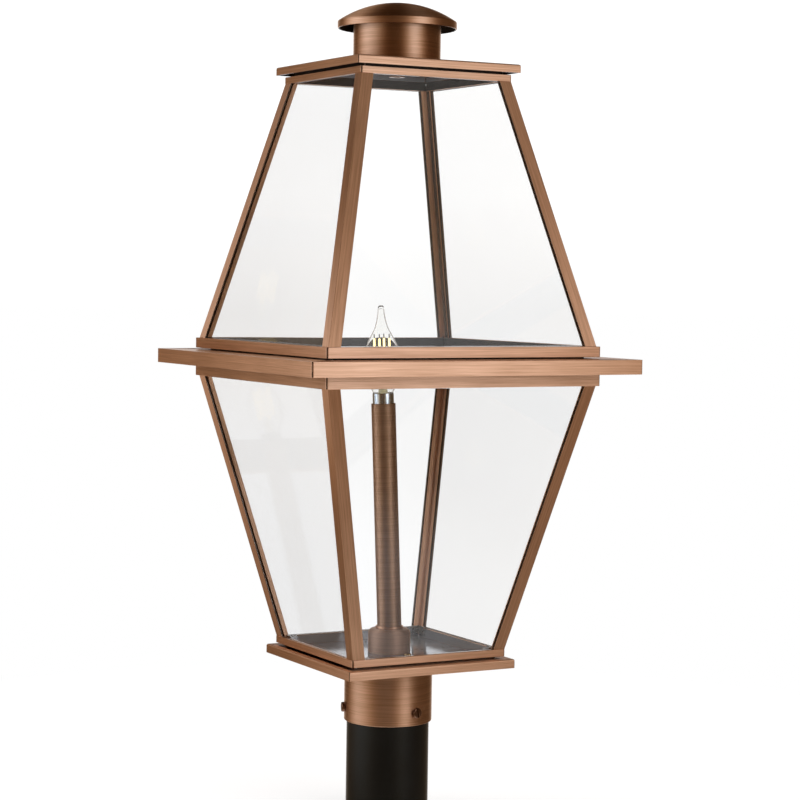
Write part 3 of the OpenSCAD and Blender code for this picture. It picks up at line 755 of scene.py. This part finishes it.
def cage(level, low_node, high_node, low_half, high_half, stop_side=None):
    """The four corner angles, panes and inner stops between two bands."""
    low_z, high_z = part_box(low_node)[1].z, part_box(high_node)[0].z

    def angle(inset, leg, thick, quarter):
        low_ring = angle_ring(low_half - inset, leg, thick, low_z)
        high_ring = angle_ring(high_half - inset, leg, thick, high_z)
        return at_corner(drawn_between(low_ring, high_ring), quarter)

    for quarter, corner in enumerate(corners):
        piece(
            f"{level}_angle_{corner}", angle(0, post_leg, post_sheet, quarter), copper_brown, "lantern",
            [f"{level}_post_{corner}"], grain_upright, inner=faces_in, ease=0.3 * mm,
        )
    for quarter, side in enumerate(sides):
        pane_low, pane_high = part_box(f"{level}_glass_{side}")
        pane = drawn_between(pane_ring(low_half, pane_low.z), pane_ring(high_half, pane_high.z))
        piece(
            f"{level}_pane_{side}", at_corner(pane, quarter), pane_glass, "lantern",
            [f"{level}_glass_{side}"], grain_upright, ease=0.3 * mm, steps=1,
        )
    stops = join_shapes([angle(stop_depth, stop_leg, stop_sheet, quarter) for quarter in range(4)])
    piece(
        f"{level}_stops", stops, copper_brown, "lantern",
        [f"{level}_glass_stops"], grain_upright, inner=stop_side, ease=0.25 * mm,
    )


small_inset = 0.55 * mm
mid_inset = 3 * mm
mid_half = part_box("lower_middle_band")[1].x
cage("lower", "base_band", "lower_middle_band", band_half - small_inset, mid_half - mid_inset)


# Brim and middle bands
# The brim is a wide square ring of sheet, with its skirt folded down and hemmed. A channel hangs
# below it over the lower panes, and another stands on it with a narrow gap, dark from its shade
# and from painted shade, near black, inside the channels and under the brim.

mid_inner = mid_half - 12 * mm


def channel_down(half, inner, low, outer_high, inner_high):
    """Section of a channel that is open upwards."""
    return [
        (half, low), (half, outer_high), (half - sheet, outer_high), (half - sheet, low + sheet),
        (inner + sheet, low + sheet), (inner + sheet, inner_high), (inner, inner_high), (inner, low),
    ]


hang_low, hang_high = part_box("lower_middle_band")
square_rail(
    "lower_rail", channel_down(mid_half, mid_inner, hang_low.z, hang_high.z, hang_high.z), copper,
    "lower_middle_band", within(mid_half, mid_inner, hang_low.z, hang_high.z),
)

brim_low, brim_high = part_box("brim")
brim_half = brim_high.x
brim_hem = 5 * mm
brim_section = [
    (mid_inner, brim_high.z - sheet), (mid_inner, brim_high.z), (brim_half, brim_high.z),
    (brim_half, brim_low.z), (brim_half - 2 * sheet, brim_low.z),
    (brim_half - 2 * sheet, brim_low.z + brim_hem), (brim_half - sheet, brim_low.z + brim_hem),
    (brim_half - sheet, brim_high.z - sheet),
]
square_rail(
    "wide_brim", brim_section, copper, "brim",
    within(brim_half, mid_inner, brim_low.z, brim_high.z), ease=0.45 * mm,
)

mid_reveal = 1.55 * mm
upper_low, upper_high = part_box("upper_middle_band")
square_rail(
    "upper_rail", channel_up(mid_half, mid_inner, mid_reveal, upper_low.z, upper_high.z), copper,
    "upper_middle_band", within(mid_half, mid_inner, upper_low.z, upper_high.z),
)


# Upper cage
# The same angles, panes and stops again, leaning inwards to the neck under the roof. On each of
# its stops the inner face of one leg is dull and that of the other is brushed.

neck_low, neck_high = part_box("neck_band")
neck_half = neck_high.x
neck_inner = neck_half - 8 * mm


def one_leg_in(centre, normal):
    """The dull side of a stop that has one dull leg."""
    return faces_in(centre, normal) if abs(normal.x) > abs(normal.y) else 0.0


cage(
    "upper", "upper_middle_band", "neck_band", mid_half - mid_inset, neck_half - small_inset, one_leg_in,
)


# Neck band and roof
# The neck band closes the upper cage. The roof plate lies on it, a sheet folded down at its edges
# that carries the chimney and the spun dome, all held by one rod and a round nut.

neck_face = 6 * mm
in_neck = within(neck_half, neck_inner, neck_low.z, neck_high.z)
# Inside the neck channel the faces that look upwards stay brushed, and the others between its legs get
# painted shade, near black.
square_rail(
    "neck_rail", channel_down(neck_half, neck_inner, neck_low.z, neck_low.z + neck_face, neck_high.z),
    copper, "neck_band", lambda centre, normal: 0.0 if normal.z > 0.5 else in_neck(centre, normal),
)

roof_low, roof_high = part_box("roof_plate")
roof_section, roof_flat = tray_section(roof_high.x, roof_low.z, roof_high.z)
# Under the roof the sheet shows its dull side, and behind its skirt painted shade, near black.
square_rail(
    "roof_sheet", roof_section, copper_sheet, "roof_plate", sheet_sides(roof_high.x, 0.0, 1.0),
    0.3 * mm, 2, grain_tray, roof_flat, "roof",
)

collar_low, collar_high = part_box("roof_collar")
collar_half = collar_high.x
collar_shape = folded([
    (collar_half, collar_low.z), (collar_half, collar_high.z),
    (collar_half - sheet, collar_high.z), (collar_half - sheet, collar_low.z),
])
piece(
    "centring_collar", collar_shape, copper_sheet, "roof", ["roof_collar"],
    grain_sides, inner=faces_in, ease=0.2 * mm,
)

chimney_low, chimney_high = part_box("chimney")
chimney_shape = tube(chimney_high.x, sheet, chimney_low.z, chimney_high.z)
piece("chimney_tube", chimney_shape, copper, "roof", ["chimney"], ease=0.3 * mm)

dome_low, dome_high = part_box("dome_cap")
dome_edge = dome_high.x
dome_rim = 6.8 * mm
dome_lip = 0.5 * mm
dome_sheet = 1.4 * mm
dome_shoulder = 0.9 * mm
dome_rise = dome_high.z - dome_low.z - dome_rim
dome_foot = dome_edge - dome_lip
dome_r = (dome_foot ** 2 + dome_rise ** 2) / (2 * dome_rise)
dome_mid = dome_high.z - dome_r
dome_steps = 24
rim_top = dome_low.z + dome_rim
rim_outer, rim_inner = 0.6 * mm, 0.4 * mm
boss_r = 6 * mm
boss_low = dome_high.z - 15.5 * mm
rod_r = 3.05 * mm
rod_top = dome_high.z - 4.5 * mm


def dome_line(radius, foot):
    """Points of the dome's curve from its top out to a radius."""
    angles = [math.asin(foot / radius) * k / dome_steps for k in range(dome_steps + 1)]
    return [(radius * math.sin(a), dome_mid + radius * math.cos(a)) for a in angles]


under = [p for p in dome_line(dome_r - dome_sheet, dome_edge - dome_sheet) if p[0] > boss_r]
dome_shape = turned(
    dome_line(dome_r, dome_foot)
    + bend(dome_edge - dome_lip, rim_top - dome_shoulder, dome_lip, 60, 0, 3)
    + bend(dome_edge - rim_outer, dome_low.z + rim_outer, rim_outer, 0, -90, 3)
    + bend(dome_edge - dome_sheet + rim_inner, dome_low.z + rim_inner, rim_inner, -90, -180, 3)
    + under[::-1]
    + [(boss_r, boss_low), (rod_r, boss_low), (rod_r, rod_top), (0, rod_top)],
)


def dome_side(centre, normal):
    """Painted shade: near black inside the dome, where no light reaches."""
    return -float(normal.z < 0.1 and centre.xy.length < dome_edge - dome_sheet / 2)


piece("spun_dome", dome_shape, copper, "roof", ["dome_cap"], inner=dome_side, ease=0.1 * mm)

nut_low, nut_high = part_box("roof_nut")
nut_r = 6 * mm
nut_flange_r = nut_high.x
nut_flange_h = 1.4 * mm
nut_round = 0.4 * mm
nut_shape = turned(
    [(rod_r, nut_low.z), (nut_flange_r - 0.3 * mm, nut_low.z)]
    + bend(nut_flange_r - nut_round, nut_low.z + nut_flange_h / 2, nut_round, -60, 60, 4)
    + [(nut_r, nut_low.z + nut_flange_h), (nut_r, nut_high.z), (rod_r, nut_high.z)],
    steps=64,
)
piece("round_nut", nut_shape, screw_bronze, "roof", ["roof_nut"], ease=0.15 * mm)


# Candle
# A drawn cup and a turned ring carry the candle: a copper plated tube over the threaded pipe that
# brings the leads up. It leans a little, as the photographed one does.

lean = 2.3
lean_to = 151.4
cup_low, cup_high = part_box("candle_cup")
ring_low, ring_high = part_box("candle_collar")
seat_deep = 1.2 * mm
seat_z = ring_high.z - seat_deep
leaning = Matrix.Translation((0, 0, seat_z)) @ turn(lean_to) @ turn(lean, "Y") @ turn(-lean_to)
cup_r = cup_high.x
cup_sheet = 1 * mm
cup_shoulder = 4 * mm
shoulder_r, shoulder_z = cup_r - cup_shoulder, cup_high.z - cup_shoulder
cup_shape = turned(
    [(fitter_hole, cup_high.z - cup_sheet), (fitter_hole, cup_high.z)]
    + bend(shoulder_r, shoulder_z, cup_shoulder, 90, 0, 8)
    + [(cup_r, cup_low.z), (cup_r - cup_sheet, cup_low.z)]
    + bend(shoulder_r, shoulder_z, cup_shoulder - cup_sheet, 0, 90, 8)
)
cup_copper = brushed(
    "drawn copper", (0.98, 0.70, 0.54), (0.80, 0.54, 0.40), 0.70, (0.10, 0.10, 0.10),
)
piece("drawn_cup", cup_shape, cup_copper, "lantern", ["candle_cup"], ease=0.25 * mm)

ring_r = ring_high.x
ring_round = 0.8 * mm
sleeve_r = 11.2 * mm
sleeve_len = 206.1 * mm
seat_r = sleeve_r + 0.35 * mm
ring_shape = turned(
    [(fitter_hole, ring_low.z)]
    + bend(ring_r - ring_round, ring_low.z + ring_round, ring_round, -90, 0)
    + bend(ring_r - ring_round, ring_high.z - ring_round, ring_round, 0, 90)
    + [(seat_r, ring_high.z), (seat_r, seat_z), (fitter_hole, seat_z)]
)
piece("turned_ring", ring_shape, copper, "lantern", ["candle_collar"], ease=0.12 * mm)

sleeve_foot = sleeve_r * math.sin(math.radians(lean)) + 0.02 * mm
sleeve_top = sleeve_foot + sleeve_len
candle_copper = brushed(
    "candle copper", (0.72, 0.45, 0.295), (0.53, 0.32, 0.205), 0.56, (0.15, 0.1, 0.08),
)
sleeve_shape = tube(sleeve_r, 0.8 * mm, sleeve_foot, sleeve_top)
piece(
    "candle_tube", sleeve_shape, candle_copper, "lantern", ["candle_sleeve"], place=leaning,
    ease=0.2 * mm,
)


# Bulb
# A clear flame shaped bulb with four straight yellow filament sticks round a glass stem. Its
# plated skirt shows above the candle, and its screw base goes down into the socket.

skirt_r = 9.8 * mm
skirt_low = sleeve_top - 5 * mm
skirt_high = sleeve_top + 9.8 * mm
thread_r = 5.9 * mm
thread_deep = 0.5 * mm
thread_pitch = 2.6 * mm
thread_len = 19 * mm
thread_rows = 60
fade_rows = 6
button_h = 1.5 * mm
base_foot = skirt_low - thread_len


def screw_base(steps=48):
    """The rolled screw thread, whose crest climbs as it goes round, with its contact and skirt."""
    button = [(0, -button_h), (1.4 * mm, -button_h), (2 * mm, -0.9 * mm), (2 * mm, 0)]
    below = [(r, base_foot + z) for r, z in button + [(4.2 * mm, 0.6 * mm), (5.3 * mm, 1.6 * mm)]]
    above = (
        [(5.6 * mm, skirt_low - 0.4 * mm), (skirt_r - 1.2 * mm, skirt_low)]
        + bend(skirt_r - 0.8 * mm, skirt_low + 0.8 * mm, 0.8 * mm, -60, 0, 3)
        + bend(skirt_r - 0.7 * mm, skirt_high - 0.7 * mm, 0.7 * mm, 0, 90, 3)
        + [(0, skirt_high)]
    )

    def thread_row(k):
        z = base_foot + 2.5 * mm + (thread_len - 3.5 * mm) * k / thread_rows
        deep = thread_deep * min(1, k / fade_rows, (thread_rows - k) / fade_rows)
        turns = math.tau * z / thread_pitch
        return ring_of(lambda a: thread_r - deep * (0.5 - 0.5 * math.cos(turns - a)), z, steps)

    return lathe(
        [ring_of(r, z, steps) for r, z in below]
        + [thread_row(k) for k in range(thread_rows + 1)]
        + [ring_of(r, z, steps) for r, z in above]
    )


def knurled_plate(name):
    """Nickel plated sheet with upright knurls and drawn marks."""
    made, shader = new_finish(name)
    knurls = streaks(520, 60, 0.5)
    share = spread(knurls, 0.35, 0.65, 0, 1)
    tone = blend_colours(share, (0.34, 0.38, 0.42), (0.80, 0.85, 0.89))
    fill(shader, Base_Color=tone, Roughness=spread(share, 0, 1, 0.24, 0.12), Metallic=1)
    dent(shader, knurls, 0.35, 0.12 * mm)
    return made


nickel = knurled_plate("nickel plated skirt")
piece(
    "bulb_cap", screw_base(), nickel, "bulb", ["bulb_base"], place=leaning,
    ease=0.1 * mm, sharp=50,
)

glass_foot = skirt_high
bulb_r = 17.5 * mm
bulb_h = 80.6 * mm
bulb_wall = 0.8 * mm
hollow_to = 0.955
hollow_tip_r, hollow_tip_h = 0.25 * mm, 0.6 * mm
flame = [
    (0.53, 0.0), (0.62, 0.04), (0.83, 0.14), (0.97, 0.25), (1.0, 0.34), (0.955, 0.44),
    (0.83, 0.53), (0.63, 0.63), (0.38, 0.735), (0.262, 0.82), (0.205, 0.89), (0.183, 0.945),
    (0.155, 0.975), (0.09, 0.995), (0.0, 1.0),
]


def smooth_line(points, steps):
    """A smooth curve through points, with some steps between each pair."""
    line = []
    for i in range(len(points) - 1):
        p0, p1 = points[max(i - 1, 0)], points[i]
        p2, p3 = points[i + 1], points[min(i + 2, len(points) - 1)]
        for k in range(steps):
            t = k / steps
            line.append(tuple(
                0.5 * (2 * b + (c - a) * t + (2 * a - 5 * b + 4 * c - d) * t * t
                       + (3 * b - a - 3 * c + d) * t ** 3)
                for a, b, c, d in zip(p0, p1, p2, p3)
            ))
    return line + [points[-1]]


flame_line = smooth_line(flame, 5)
outer = [(max(r, 0) * bulb_r, glass_foot + h * bulb_h) for r, h in flame_line]
inner = [
    (max(r * bulb_r - bulb_wall, hollow_tip_r), glass_foot + h * bulb_h)
    for r, h in flame_line if h < hollow_to
]
flame_shape = turned(outer + [(0, inner[-1][1] + hollow_tip_h)] + inner[::-1], steps=96)
bulb_clear = clear_glass("clear bulb glass", (0.995, 0.995, 0.985), 1.22, 0.01)
piece(
    "flame_glass", flame_shape, bulb_clear, "bulb", ["bulb_glass"], place=leaning,
    ease=0.1 * mm, steps=1, sharp=60,
)

stick_r = 1 * mm
stick_len = 40 * mm
stick_round = 0.8 * mm
pin_r = 0.5 * mm
pin_len = 4 * mm
stick_out = 7.2 * mm
stick_low = glass_foot + 14 * mm
stick_high = stick_low + stick_len
coat_low, coat_high = stick_low + pin_len, stick_high - pin_len
quarters = [45 + 90 * i for i in range(4)]
sticks, pins = [], []
for quarter in quarters:
    out = outwards(stick_out, quarter)
    coated = turned([
        (0, coat_low), (stick_r * 0.7, coat_low), (stick_r, coat_low + stick_round),
        (stick_r, coat_high - stick_round), (stick_r * 0.7, coat_high), (0, coat_high),
    ], steps=20)
    sticks.append(moved(coated, out))
    for low_z, high_z in ((stick_low, coat_low), (coat_high, stick_high)):
        pins.append(moved(rod(pin_r, low_z, high_z, 12), out))
# Painted glow: the emission stands for the light the sticks catch, not for a lit bulb.
phosphor_painted_glow = clouded(
    "yellow phosphor", 400, (0.92, 0.76, 0.42), (1, 0.8512, 0.4704), (0.5, 0.4), (1500, 0.2, 0.1 * mm),
    Emission_Color=(1, 0.76, 0.33), Emission_Strength=2.2,
)
piece(
    "filament_sticks", join_shapes(sticks), phosphor_painted_glow, "bulb", ["bulb_filaments"],
    place=leaning, ease=0.08 * mm, sharp=60,
)
pin_steel = bright_metal("filament pin steel", (0.30, 0.28, 0.26), (0.20, 0.18, 0.17), 0.35)
piece(
    "filament_pins", join_shapes(pins), pin_steel, "bulb", ["bulb_filaments"],
    grain_upright, place=leaning, ease=0.08 * mm, sharp=60,
)

stem_top = glass_foot + 19 * mm
wire_r = 0.5 * mm
wire_z = stick_low - wire_r
wire_reach = stick_out + wire_r
wire_root = 1.2 * mm
stem_foot = [(0, 0), (4.5 * mm, 0), (4.2 * mm, 2 * mm), (2.9 * mm, 9 * mm)]
stem_shape = turned(
    [(r, glass_foot + z) for r, z in stem_foot]
    + [(2.3 * mm, wire_z), (1.6 * mm, wire_z + 1.5 * mm), (1.5 * mm, stem_top - 0.6 * mm)]
    + [(1.0 * mm, stem_top), (0, stem_top)],
    small_round,
)
arms = [stem_shape]
for quarter in quarters:
    lying = Matrix.Translation((0, 0, wire_z)) @ turn(quarter) @ turn(90, "Y")
    arms.append(moved(rod(wire_r, wire_root, wire_reach, 12), lying))
# Painted glow: the stem's faint emission stands for the light it catches.
stem_glass_painted_glow = clouded(
    "pale stem glass with painted glow", 250, (0.92, 0.86, 0.55), (0.98, 0.95, 0.8), (0.22, 0.12),
    (600, 0.1, 0.1 * mm), Emission_Color=(1, 0.85, 0.45), Emission_Strength=0.12,
)
piece(
    "stem_and_wires", join_shapes(arms), stem_glass_painted_glow, "bulb", ["bulb_mount"],
    place=leaning, ease=0.1 * mm, sharp=60,
)


# Rod, pipe, socket and wiring
# The threaded rod, the pipe with its lock nuts and washers, the socket and the three leads are
# hidden by the pieces above. They stay as they are made, each in its own finish.

def moulded(name, colour, other, rough):
    """Moulded plastic with a soft sheen and faint flow marks."""
    return clouded(name, 120, colour, other, (rough, rough + 0.12), (900, 0.12, 0.05 * mm))


hidden = {
    "roof_rod": plated,
    "roof_washer": plated,
    "stem_pipe": plated,
    "pipe_lock_nuts": plated,
    "pipe_washers": plated,
    "socket_bushing": plated,
    "socket_body": moulded("cream phenolic", (0.78, 0.74, 0.64), (0.84, 0.80, 0.71), 0.35),
    "socket_shell": screw_brass,
    "socket_contact": screw_brass,
    "black_lead": moulded("black lead", (0.012, 0.012, 0.012), (0.03, 0.03, 0.03), 0.45),
    "white_lead": moulded("white lead", (0.78, 0.78, 0.76), (0.85, 0.85, 0.83), 0.4),
    "ground_lead": moulded("green lead", (0.03, 0.22, 0.06), (0.05, 0.3, 0.09), 0.42),
    "ground_screw": bright_metal("green plated steel", (0.12, 0.42, 0.2), (0.07, 0.3, 0.13), 0.3),
    "wire_connectors": moulded("orange connector", (0.78, 0.22, 0.03), (0.85, 0.28, 0.05), 0.4),
}
for node_name, finish in hidden.items():
    node_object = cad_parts[node_name]
    node_object.data.materials.clear()
    node_object.data.materials.append(finish)


# Floor, lamps and camera
# A plain white floor and background, large soft boxes to the left and right with a dim room
# between them and the white backdrop behind, and the camera where the photograph was taken from.

white = (1, 1, 1)
lamp_aim = Vector((0, 0, 0.4))
behind = 61.5


def lamp(name, azimuth, height, distance, width, tall, level):
    """A soft box that faces the object and lights what is matt, as bright as level times white."""
    data = bpy.data.lights.new(name, "AREA")
    data.shape = "RECTANGLE"
    data.size, data.size_y = width, tall
    data.energy = level * math.pi * width * tall
    made = placed(name, data)
    made.location = turn(azimuth) @ Vector((distance, 0, height))
    made.rotation_mode = "QUATERNION"
    made.rotation_quaternion = (lamp_aim - made.location).to_track_quat("-Z", "Y")
    made.visible_camera = made.visible_transmission = made.visible_glossy = False


lamp("right soft box", 290, 0.95, 2.2, 2.5, 2.2, 1.1)
lamp("left soft box", 153, 1.05, 2.2, 2.5, 2.0, 1.0)
lamp("back soft box", behind, 1.0, 2.2, 1.9, 2.0, 0.9)
lamp("top soft box", behind, 3.0, 0.6, 1.6, 1.6, 0.35)


def height_of(source):
    """The upright part of a direction or place."""
    return add("ShaderNodeSeparateXYZ", Vector=source).outputs["Z"]


def around(source):
    """For a direction or place: a rule for the brightness round one azimuth, which falls off to its
    sides, and the height."""
    way = vectors("NORMALIZE", vectors("MULTIPLY", source, (1, 1, 0)))

    def facing(azimuth, sharpness, level):
        share = vectors("DOT_PRODUCT", way, turn(azimuth) @ Vector((1, 0, 0)), output="Value")
        return times(calculate("POWER", calculate("MAXIMUM", share, 0), sharpness), level)

    return facing, height_of(source)


def soft_step(source, low, high):
    """From 0 to 1 between two values."""
    step = add(
        "ShaderNodeMapRange", interpolation_type="SMOOTHSTEP", Value=source, From_Min=low, From_Max=high,
    )
    return step.outputs["Result"]


def warmer_when_dim(glow):
    """Colour of a brightness: white when full and warmer where it fades."""
    green, blue = calculate("POWER", glow, 1.22), calculate("POWER", glow, 1.5)
    return add("ShaderNodeCombineColor", Red=glow, Green=green, Blue=blue).outputs["Color"]


def mirror_image():
    """What metal and glass show beyond the soft boxes: the backdrop, the white table in front, two
    panels overhead and the dim room."""
    facing, height = around(add("ShaderNodeTexCoord").outputs["Generated"])
    back = times(facing(behind, 14, 1.1), soft_step(height, 0.45, 0.2))
    table = times(facing(299, 80, 0.95), soft_step(height, -0.46, -0.5))
    panels = plus(facing(122, 7, 0.85), facing(298.5, 7, 0.62))
    overhead = times(soft_step(height, 0.3, 0.5), soft_step(height, 0.9, 0.7), panels)
    room = times(spread(height, -0.55, -0.1, 0.24, 0.07), soft_step(height, 1.0, 0.4))
    below = times(soft_step(height, -0.6, -0.85), 0.7)
    glow = plus(back, table, overhead, room, below, 0.012)
    return add("ShaderNodeBackground", Color=warmer_when_dim(glow)).outputs[0]


def after(kind):
    """Whether a ray has already met a surface, either a Glossy or a Diffuse one."""
    depth = add("ShaderNodeLightPath").outputs[f"{kind} Depth"]
    return calculate("GREATER_THAN", depth, 0.5)


world = bpy.data.worlds.new("studio")
bpy.context.scene.world = world
world.use_nodes = True
world.cycles.sampling_method = "NONE"
tree = world.node_tree
dim_room = fill(tree.nodes["Background"], Color=(0.34, 0.32, 0.31)).outputs[0]
view_height = height_of(add("ShaderNodeTexCoord").outputs["Generated"])
backdrop = add("ShaderNodeBackground", Color=white, Strength=spread(view_height, -0.016, 0.035, 1, 1.14))
mirrored = either(after("Glossy"), backdrop.outputs[0], mirror_image())
fill(tree.nodes["World Output"], Surface=either(after("Diffuse"), mirrored, dim_room))


def staged(name, points, faces, paint_name):
    """A part of the studio, with a material of its own in hand."""
    mesh = bpy.data.meshes.new(name)
    mesh.from_pydata(points, [], faces)
    made = placed(name, mesh)
    paint = new_finish(paint_name)[0]
    paint.cycles.emission_sampling = "NONE"
    mesh.materials.append(paint)
    return made


def added(first, second):
    """Two shaders on top of each other."""
    return combine("ShaderNodeAddShader", first, second)[0]


def glowing(colour, strength=1):
    """Plain light."""
    return add("ShaderNodeEmission", Color=colour, Strength=strength).outputs[0]


around_r, around_low, around_top, around_steps = 1.1, -0.4, 1.3, 96
around_points = [p for z in (around_low, around_top) for p in ring_of(around_r, z, around_steps)]
around_faces = [
    (k, n, around_steps + n, around_steps + k)
    for k, n in ((k, (k + 1) % around_steps) for k in range(around_steps))
]
boxes = staged("soft boxes in the metal", around_points, around_faces, "soft box light")
boxes.visible_camera = boxes.visible_diffuse = boxes.visible_shadow = False
facing, height = around(add("ShaderNodeTexCoord").outputs["Object"])
left_box = times(facing(152, 11, 1.5), soft_step(height, -0.25, 0.3))
left_side = times(facing(182, 14, 1), spread(height, -0.2, 0.6, 0.2, 0.85))
left_boxes = times(plus(left_box, left_side), soft_step(height, 1.02, 0.7))
right_box = times(
    facing(290, 14, 1.2), soft_step(height, 0.0, 0.38), spread(height, 0.2, 0.4, 1, 1.16),
)
right_side = times(facing(282, 26, 1), spread(height, -0.2, 0.8, 0.25, 0.35))
right_boxes = times(plus(right_box, right_side), soft_step(height, 1.1, 0.75))
box_glow = times(plus(left_boxes, right_boxes), soft_step(height, -0.3, -0.12))
clear = see_through(white)
box_over_room = added(glowing(warmer_when_dim(box_glow)), clear)
fill(tree.nodes["Material Output"], Surface=either(after("Glossy"), clear, box_over_room))

floor_z = -0.0005
floor_points = [(x, y, floor_z) for x, y in ((-4, -4), (4, -4), (4, 4), (-4, 4))]
staged("floor", floor_points, [(0, 1, 2, 3)], "white floor")
matt = fill(tree.nodes["Principled BSDF"], Base_Color=(0.8, 0.8, 0.8), Roughness=0.9).outputs["BSDF"]
from_post = vectors("LENGTH", add("ShaderNodeTexCoord").outputs["Object"], output="Value")
far = spread(from_post, 0.35, 0.8, 0, 1)
white_floor = either(far, added(matt, glowing(white, 0.62)), glowing(white))
unmirrored = either(after("Glossy"), white_floor, see_through(white))
fill(tree.nodes["Material Output"], Surface=either(after("Diffuse"), unmirrored, matt))

camera_data = bpy.data.cameras.new("camera")
camera_data.sensor_width = 36
camera_data.lens = 101.32
camera_data.clip_start = 0.05
camera = placed("camera", camera_data)
camera_place = (-0.9881, -1.8188, 0.4954)
yaw, pitch, roll = (math.radians(a) for a in (-28.715, -3.154, 0.811))
ahead = Vector((-math.sin(yaw) * math.cos(pitch), math.cos(yaw) * math.cos(pitch), math.sin(pitch)))
level_right = Vector((math.cos(yaw), math.sin(yaw), 0))
level_up = level_right.cross(ahead)
right = math.cos(roll) * level_right + math.sin(roll) * level_up
up = -math.sin(roll) * level_right + math.cos(roll) * level_up
looking = Matrix((right, up, -ahead)).transposed().to_4x4()
camera.matrix_world = Matrix.Translation(camera_place) @ looking
bpy.context.scene.camera = camera
bpy.context.scene.view_settings.view_transform = "Standard"
